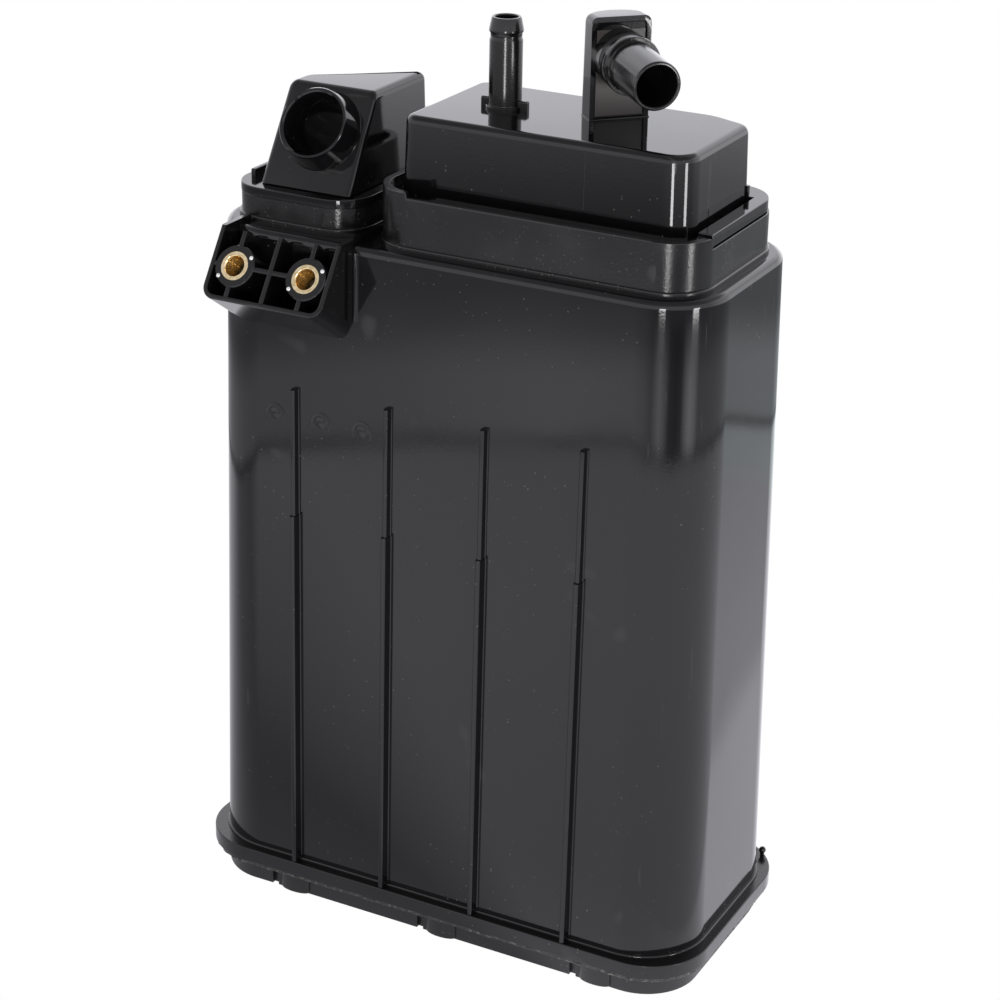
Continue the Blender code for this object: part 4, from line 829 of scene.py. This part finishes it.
tower_foot, _ = prism(
    rectangle(-tower_half - 0.15 * MM, tower_half + 0.15 * MM, -0.35 * MM, 11.3 * MM / 0.72),
    [0, 0, tower_half, tower_half], CAP_TOP - 1.0 * MM, CAP_TOP + 0.35 * MM, 14)
for vertex in tower_foot.verts:
    if vertex.co.y > 0.0:
        vertex.co.y *= 0.72
soften(tower_foot, edges_at(tower_foot, lambda co: co.z > CAP_TOP + 0.3 * MM), 0.25 * MM, 2)
# A thin sheet fills the sunk panel and carries the matt panel finish; its lighter warm tone is painted
# light.
panel_skin, _ = prism(
    rectangle(-tower_half + 1.7 * MM, tower_half - 1.7 * MM, 0.38 * MM, 1.2 * MM), [0] * 4,
    CAP_TOP + 0.9 * MM, TOWER_TOP - 3.6 * MM)
for shell in (tower, tower_foot, panel_skin):
    bmesh.ops.transform(shell, matrix=TOWER, verts=shell.verts)
add_piece("port_tower", [tower, tower_foot], CAP_BLACK, "cap_plastic")
add_piece("tower_panel", [panel_skin], MATT_PANEL_PAINTED_LIGHT, "cap_plastic")

# %% [markdown]
# ## Tank port
# The port is a stepped pipe with a ring. It is spun from its profile along Z and then turned
# to lie in front of the tower, dipping by a few degrees.
# %% Tank port
port = spun([
    (0.0, -2.5 * MM), (7.7 * MM, -2.5 * MM), (7.7 * MM, 3.7 * MM), (7.4 * MM, 4.0 * MM),
    (7.1 * MM, 4.6 * MM), (7.1 * MM, 6.6 * MM), (7.7 * MM, 7.0 * MM), (8.0 * MM, 7.3 * MM),
    (8.0 * MM, 8.9 * MM), (7.8 * MM, 9.2 * MM), (7.0 * MM, 9.2 * MM), (6.7 * MM, 9.5 * MM),
    (6.6 * MM, 26.3 * MM), (6.4 * MM, 26.7 * MM), (6.2 * MM, 26.8 * MM), (5.85 * MM, 26.8 * MM),
    (5.6 * MM, 26.5 * MM), (5.6 * MM, -1.0 * MM), (0.0, -1.0 * MM)], 72)
port_place = TOWER @ Matrix.Translation((0.0, 0.0, 258.3 * MM)) @ Matrix.Rotation(
    math.radians(93.2), 4, "X")
bmesh.ops.transform(port, matrix=port_place, verts=port.verts)
add_piece("tank_port", [port], PIPE_BLACK, "cap_plastic")

# %% [markdown]
# ## Air housing
# The housing is a wedge: shallow on the left, deep on the right, with a sloped front. It is a
# pushed outline whose upper front is moved back. The spigot grows out of the slope itself: the
# sloped face is opened, a circle is laid in it and the plane between is filled again, and then
# the circle is extruded outward, in over the rim and down the bore.
# %% Wedge
HOUSING_LOW, HOUSING_TOP = 216.7 * MM, 242.5 * MM
housing, upper = prism(
    [(-64.0 * MM, -22.6 * MM), (-35.0 * MM, -22.6 * MM), (-35.0 * MM, 22.2 * MM),
     (-64.0 * MM, 1.8 * MM)],
    [0, 0, 2.6 * MM, 2.6 * MM], HOUSING_LOW, HOUSING_TOP, 8)
for vertex in upper:
    if vertex.co.y < -20.0 * MM:
        vertex.co.y += 16.0 * MM
    vertex.co.x += 0.2 * MM if vertex.co.x < -50.0 * MM else -0.8 * MM
roof_edges = [e for e in edges_at(housing, lambda co: co.z > HOUSING_TOP - 0.1 * MM)
              if not all(v.co.y < -6.5 * MM for v in e.verts)]
soften(housing, roof_edges, 2.2 * MM, 6)
front = [e for e in creases(housing, 25.0) if all(
    v.co.y + 22.6 * MM < (v.co.z - HOUSING_LOW) * 16.0 / 25.8 + 0.05 * MM for v in e.verts)
    and max(v.co.z for v in e.verts) > HOUSING_LOW + 0.1 * MM]
soften(housing, front, 1.4 * MM, 5)
housing.normal_update()
slope_way = Vector((0.0, -0.850, 0.527)).normalized()
slope = max(housing.faces, key=lambda face: face.normal.dot(slope_way) * face.calc_area())
# %% Spigot out of the slope
rim_edges = list(slope.edges)
bmesh.ops.delete(housing, geom=[slope], context="FACES_ONLY")
seat = Matrix.Translation((-48.7 * MM, -13.54 * MM, 231.32 * MM)) @ Matrix.Rotation(
    math.radians(90.0) - math.atan2(16.0, 25.8), 4, "X")
circle = bmesh.ops.create_circle(housing, cap_ends=False, segments=72, radius=11.55 * MM, matrix=seat)
ring = list({edge for vertex in circle["verts"] for edge in vertex.link_edges})
bmesh.ops.triangle_fill(housing, use_beauty=True, edges=rim_edges + ring)


def next_ring(bm, edges, distance, radius, before):
    """The ring of edges pushed along the spigot's axis and scaled to a radius."""
    made = bmesh.ops.extrude_edge_only(bm, edges=edges)["geom"]
    verts = [item for item in made if isinstance(item, bmesh.types.BMVert)]
    bmesh.ops.translate(bm, verts=verts, vec=slope_way * distance)
    middle = sum((vertex.co for vertex in verts), Vector()) / len(verts)
    ratio = radius / before
    bmesh.ops.scale(bm, verts=verts, vec=(ratio,) * 3, space=Matrix.Translation(-middle))
    return [item for item in made if isinstance(item, bmesh.types.BMEdge)
            and all(vertex in verts for vertex in item.verts)]


before = 11.55
for distance, radius in ((0.4, 11.2), (6.2, 10.3), (0.4, 10.0), (0.0, 9.4), (-0.4, 9.0), (-18.0, 8.8)):
    ring = next_ring(housing, ring, distance * MM, radius, before)
    before = radius
bmesh.ops.edgenet_fill(housing, edges=ring)
add_piece("air_housing_shell", [housing], HOUSING_BLACK, "housing_plastic", "air_housing")

# %% [markdown]
# ## Floor, lights and world
# The photograph stands on plain white with soft light all round. The floor and the world look
# pure white to the camera, and the plastic sees a calmer version of them: a bright table near
# the object, a dimmer room beyond it, a bright wall behind, and two tall lamps on the right.
# %% Floor
floor_bm = bmesh.new()
bmesh.ops.create_circle(floor_bm, cap_ends=True, segments=128, radius=0.75)
floor_mesh = bpy.data.meshes.new("floor")
floor_bm.to_mesh(floor_mesh)
floor_bm.free()
floor = bpy.data.objects.new("floor", floor_mesh)
floor.location.z = -0.0005
bpy.context.scene.collection.objects.link(floor)
print("floor radius 0.75 m")

# %% [markdown]
# ## What the plastic sees of the floor
# Glossy black plastic shows little colour of its own: nearly all its light is a reflection. So
# the floor glows with a pattern instead of being lit: a round white table, a narrow joint
# along its edge, and round it a dimmer floor with two pools of light under the lamps. The
# pools are drawn by the angle round the canister, which two colour ramps turn into brightness.
# %% Floor pattern
floor_look = bpy.data.materials.new("white_table")
floor_look.use_nodes = True
tree = floor_look.node_tree
tree.nodes.clear()
output = add_node(tree, "ShaderNodeOutputMaterial")
place = add_node(tree, "ShaderNodeTexCoord")
axes = add_node(tree, "ShaderNodeSeparateXYZ")
wire(tree, place.outputs["Object"], axes.inputs[0])
floor_x, floor_y = axes.outputs["X"], axes.outputs["Y"]


def by_angle(tree, angle, stops, brightest):
    """Brightness from an angle in degrees round the canister."""
    turn = add_node(tree, "ShaderNodeMapRange", {"From Min": -math.pi, "From Max": math.pi})
    wire(tree, angle, turn.inputs["Value"])
    ramp = add_node(tree, "ShaderNodeValToRGB")
    wire(tree, turn.outputs["Result"], ramp.inputs[0])
    stone = ramp.color_ramp.elements
    while len(stone) < len(stops):
        stone.new(0.5)
    for element, (degrees, value) in zip(stone, stops):
        element.position = (degrees + 180.0) / 360.0
        element.color = (value / brightest,) * 3 + (1.0,)
    return calculated(tree, "MULTIPLY", ramp.outputs[0], brightest)


from_x = calculated(tree, "SUBTRACT", floor_x, 0.06)
from_y = calculated(tree, "MULTIPLY", calculated(tree, "ADD", floor_y, 0.02), -1.0)
angle = calculated(tree, "ARCTAN2", from_x, from_y)
away = calculated(tree, "SQRT", calculated(
    tree, "ADD", calculated(tree, "MULTIPLY", from_x, from_x),
    calculated(tree, "MULTIPLY", from_y, from_y)), 0.0)
table_light = by_angle(tree, angle, [
    (-180, 1.15), (-110, 0.45), (-60, 0.50), (-42, 1.13), (60, 1.15), (100, 1.10), (152, 1.05),
    (180, 1.2)], 2.0)
# Painted shade: the table glows dimmer close to the canister's foot, in place of its contact shadow.
foot_shade_dimming = ranged(tree, away, 0.06, 0.30, 0.88, 1.0)
rear_fade = ranged(tree, floor_y, 0.12, 0.34, 1.0, 0.86)
table_light = calculated(tree, "MULTIPLY", table_light, calculated(
    tree, "MULTIPLY", foot_shade_dimming, rear_fade))
room_light = by_angle(tree, angle, [
    (-180, 0.6), (-100, 0.5), (-45, 0.85), (-38, 0.95), (-28, 1.30), (-5, 1.1), (8, 0.75),
    (15, 1.3), (21, 1.7), (28, 1.2), (36, 0.3), (47, 0.20), (55, 0.35), (62, 1.5), (69, 2.3),
    (77, 1.8), (84, 0.8), (130, 0.68), (152, 0.68), (180, 0.6)], 4.0)
far_fade = ranged(tree, away, 0.55, 0.65, 1.0, 0.48)
room_light = calculated(tree, "MULTIPLY", room_light, far_fade)
beyond = by_angle(tree, angle, [
    (-180, 0.30), (-40, 0.45), (-5, 0.45), (10, 0.25), (84, 0.25), (100, 0.34), (152, 0.34),
    (180, 0.3)], 1.0)
far_mix = add_node(tree, "ShaderNodeMix", data_type="FLOAT")
wire(tree, ranged(tree, away, 0.655, 0.70), far_mix.inputs[0])
wire(tree, room_light, far_mix.inputs[2])
wire(tree, beyond, far_mix.inputs[3])
room_light = far_mix.outputs[0]

ripple = add_node(tree, "ShaderNodeTexNoise", {"Scale": 9.0, "Detail": 1.0})
wire(tree, place.outputs["Object"], ripple.inputs["Vector"])
wobble = calculated(tree, "MULTIPLY", calculated(tree, "SUBTRACT", ripple.outputs[0], 0.5), 0.035)
reach = calculated(tree, "ADD", calculated(tree, "DIVIDE", away, 0.468), wobble)
on_table = ranged(tree, reach, 0.99, 1.01, 1.0, 0.0)
joint_near = ranged(tree, reach, 0.965, 1.0)
joint_far = ranged(tree, reach, 1.03, 1.0)
joint = calculated(tree, "SUBTRACT", 1.0, calculated(
    tree, "MULTIPLY", calculated(tree, "MULTIPLY", joint_near, joint_far), 0.6))

# a brighter strip of the table beside the right end of the canister
strip_edge = calculated(tree, "SUBTRACT", floor_x, calculated(tree, "MULTIPLY", floor_y, 0.167))
strip = calculated(tree, "MULTIPLY", ranged(tree, strip_edge, 0.119, 0.108),
                   ranged(tree, floor_y, -0.10, 0.03))
table_light = calculated(tree, "ADD", table_light, calculated(tree, "MULTIPLY", strip, 0.42))
blend = add_node(tree, "ShaderNodeMix", data_type="FLOAT")
wire(tree, on_table, blend.inputs[0])
wire(tree, room_light, blend.inputs[2])
wire(tree, table_light, blend.inputs[3])
brightness = calculated(tree, "MULTIPLY", blend.outputs[0], joint)
tint = mixed(tree, ranged(tree, floor_y, 0.33, 0.36), (0.985, 0.965, 1.03), (0.93, 0.99, 1.02))
table_glow = add_node(tree, "ShaderNodeEmission")
wire(tree, tint, table_glow.inputs["Color"])
wire(tree, brightness, table_glow.inputs["Strength"])
white = add_node(tree, "ShaderNodeEmission", {"Color": (1, 1, 1, 1), "Strength": 1.0})
seen = add_node(tree, "ShaderNodeLightPath")
choice = add_node(tree, "ShaderNodeMixShader")
wire(tree, seen.outputs["Is Camera Ray"], choice.inputs[0])
wire(tree, table_glow.outputs[0], choice.inputs[1])
wire(tree, white.outputs[0], choice.inputs[2])
wire(tree, choice.outputs[0], output.inputs["Surface"])
floor.data.materials.append(floor_look)
print("floor pattern:", len(tree.nodes), "nodes")

# %% [markdown]
# ## World
# The world is the studio's walls. It is dim below the horizon and bright high up behind the
# canister, where the level surfaces of the plastic look. The camera sees plain white instead,
# so the canister stands on the white ground of a catalogue picture.
# %% World
world = bpy.data.worlds.new("studio")
bpy.context.scene.world = world
world.use_nodes = True
tree = world.node_tree
tree.nodes.clear()
output = add_node(tree, "ShaderNodeOutputWorld")
place = add_node(tree, "ShaderNodeTexCoord")
axes = add_node(tree, "ShaderNodeSeparateXYZ")
wire(tree, place.outputs["Generated"], axes.inputs[0])
room = add_node(tree, "ShaderNodeBackground", {"Color": (0.97, 0.97, 1.02, 1.0)})
half_turn = calculated(tree, "MULTIPLY", calculated(tree, "ADD", axes.outputs["Z"], 1.0), 0.5)
height = add_node(tree, "ShaderNodeValToRGB")
wire(tree, half_turn, height.inputs[0])
levels = [
    (-0.26, 0.30), (-0.24, 0.45), (-0.20, 1.1), (0.05, 1.4), (0.21, 1.4), (0.27, 1.1),
    (0.42, 1.5), (0.52, 1.4), (0.62, 0.60), (0.95, 0.40)]
while len(height.color_ramp.elements) < len(levels):
    height.color_ramp.elements.new(0.5)
for element, (up, value) in zip(height.color_ramp.elements, levels):
    element.position = (up + 1.0) / 2.0
    element.color = (value / 1.5,) * 3 + (1.0,)
wall_back = ranged(tree, axes.outputs["Y"], 0.1, 0.5, 1.3, 2.05)
wire(tree, calculated(tree, "MULTIPLY", height.outputs[0], wall_back), room.inputs["Strength"])
white = add_node(tree, "ShaderNodeBackground", {"Color": (1, 1, 1, 1), "Strength": 1.0})
seen = add_node(tree, "ShaderNodeLightPath")
choice = add_node(tree, "ShaderNodeMixShader")
wire(tree, seen.outputs["Is Camera Ray"], choice.inputs[0])
wire(tree, room.outputs[0], choice.inputs[1])
wire(tree, white.outputs[0], choice.inputs[2])
wire(tree, choice.outputs[0], output.inputs["Surface"])
print("world ready")

# %% [markdown]
# ## Lamps
# Two tall narrow lamps stand on the right. Each draws one upright line of light on the round
# corners, so their angles are chosen by where those lines fall. They are hidden from the
# camera, which looks past them at the white ground.
# %% Lamps
def lamp(name, azimuth, distance, width, height, z, power):
    """A tall soft lamp that stands round the object and faces it."""
    light = bpy.data.lights.new(name, "AREA")
    light.shape = "RECTANGLE"
    light.size = width
    light.size_y = height
    light.energy = power
    item = bpy.data.objects.new(name, light)
    turn = math.radians(azimuth)
    item.location = (math.sin(turn) * distance, -math.cos(turn) * distance, z)
    aim = Vector((0.0, 0.0, 0.15)) - item.location
    item.rotation_euler = aim.to_track_quat("-Z", "Y").to_euler()
    item.visible_camera = False
    bpy.context.scene.collection.objects.link(item)
    return item


lamp("lamp_front", 22.0, 1.6, 0.26, 0.54, 0.0, 6.6)
lamp("lamp_side", 74.5, 1.6, 0.28, 0.54, 0.0, 6.0)
print("lamps at 22 and 74.5 degrees")
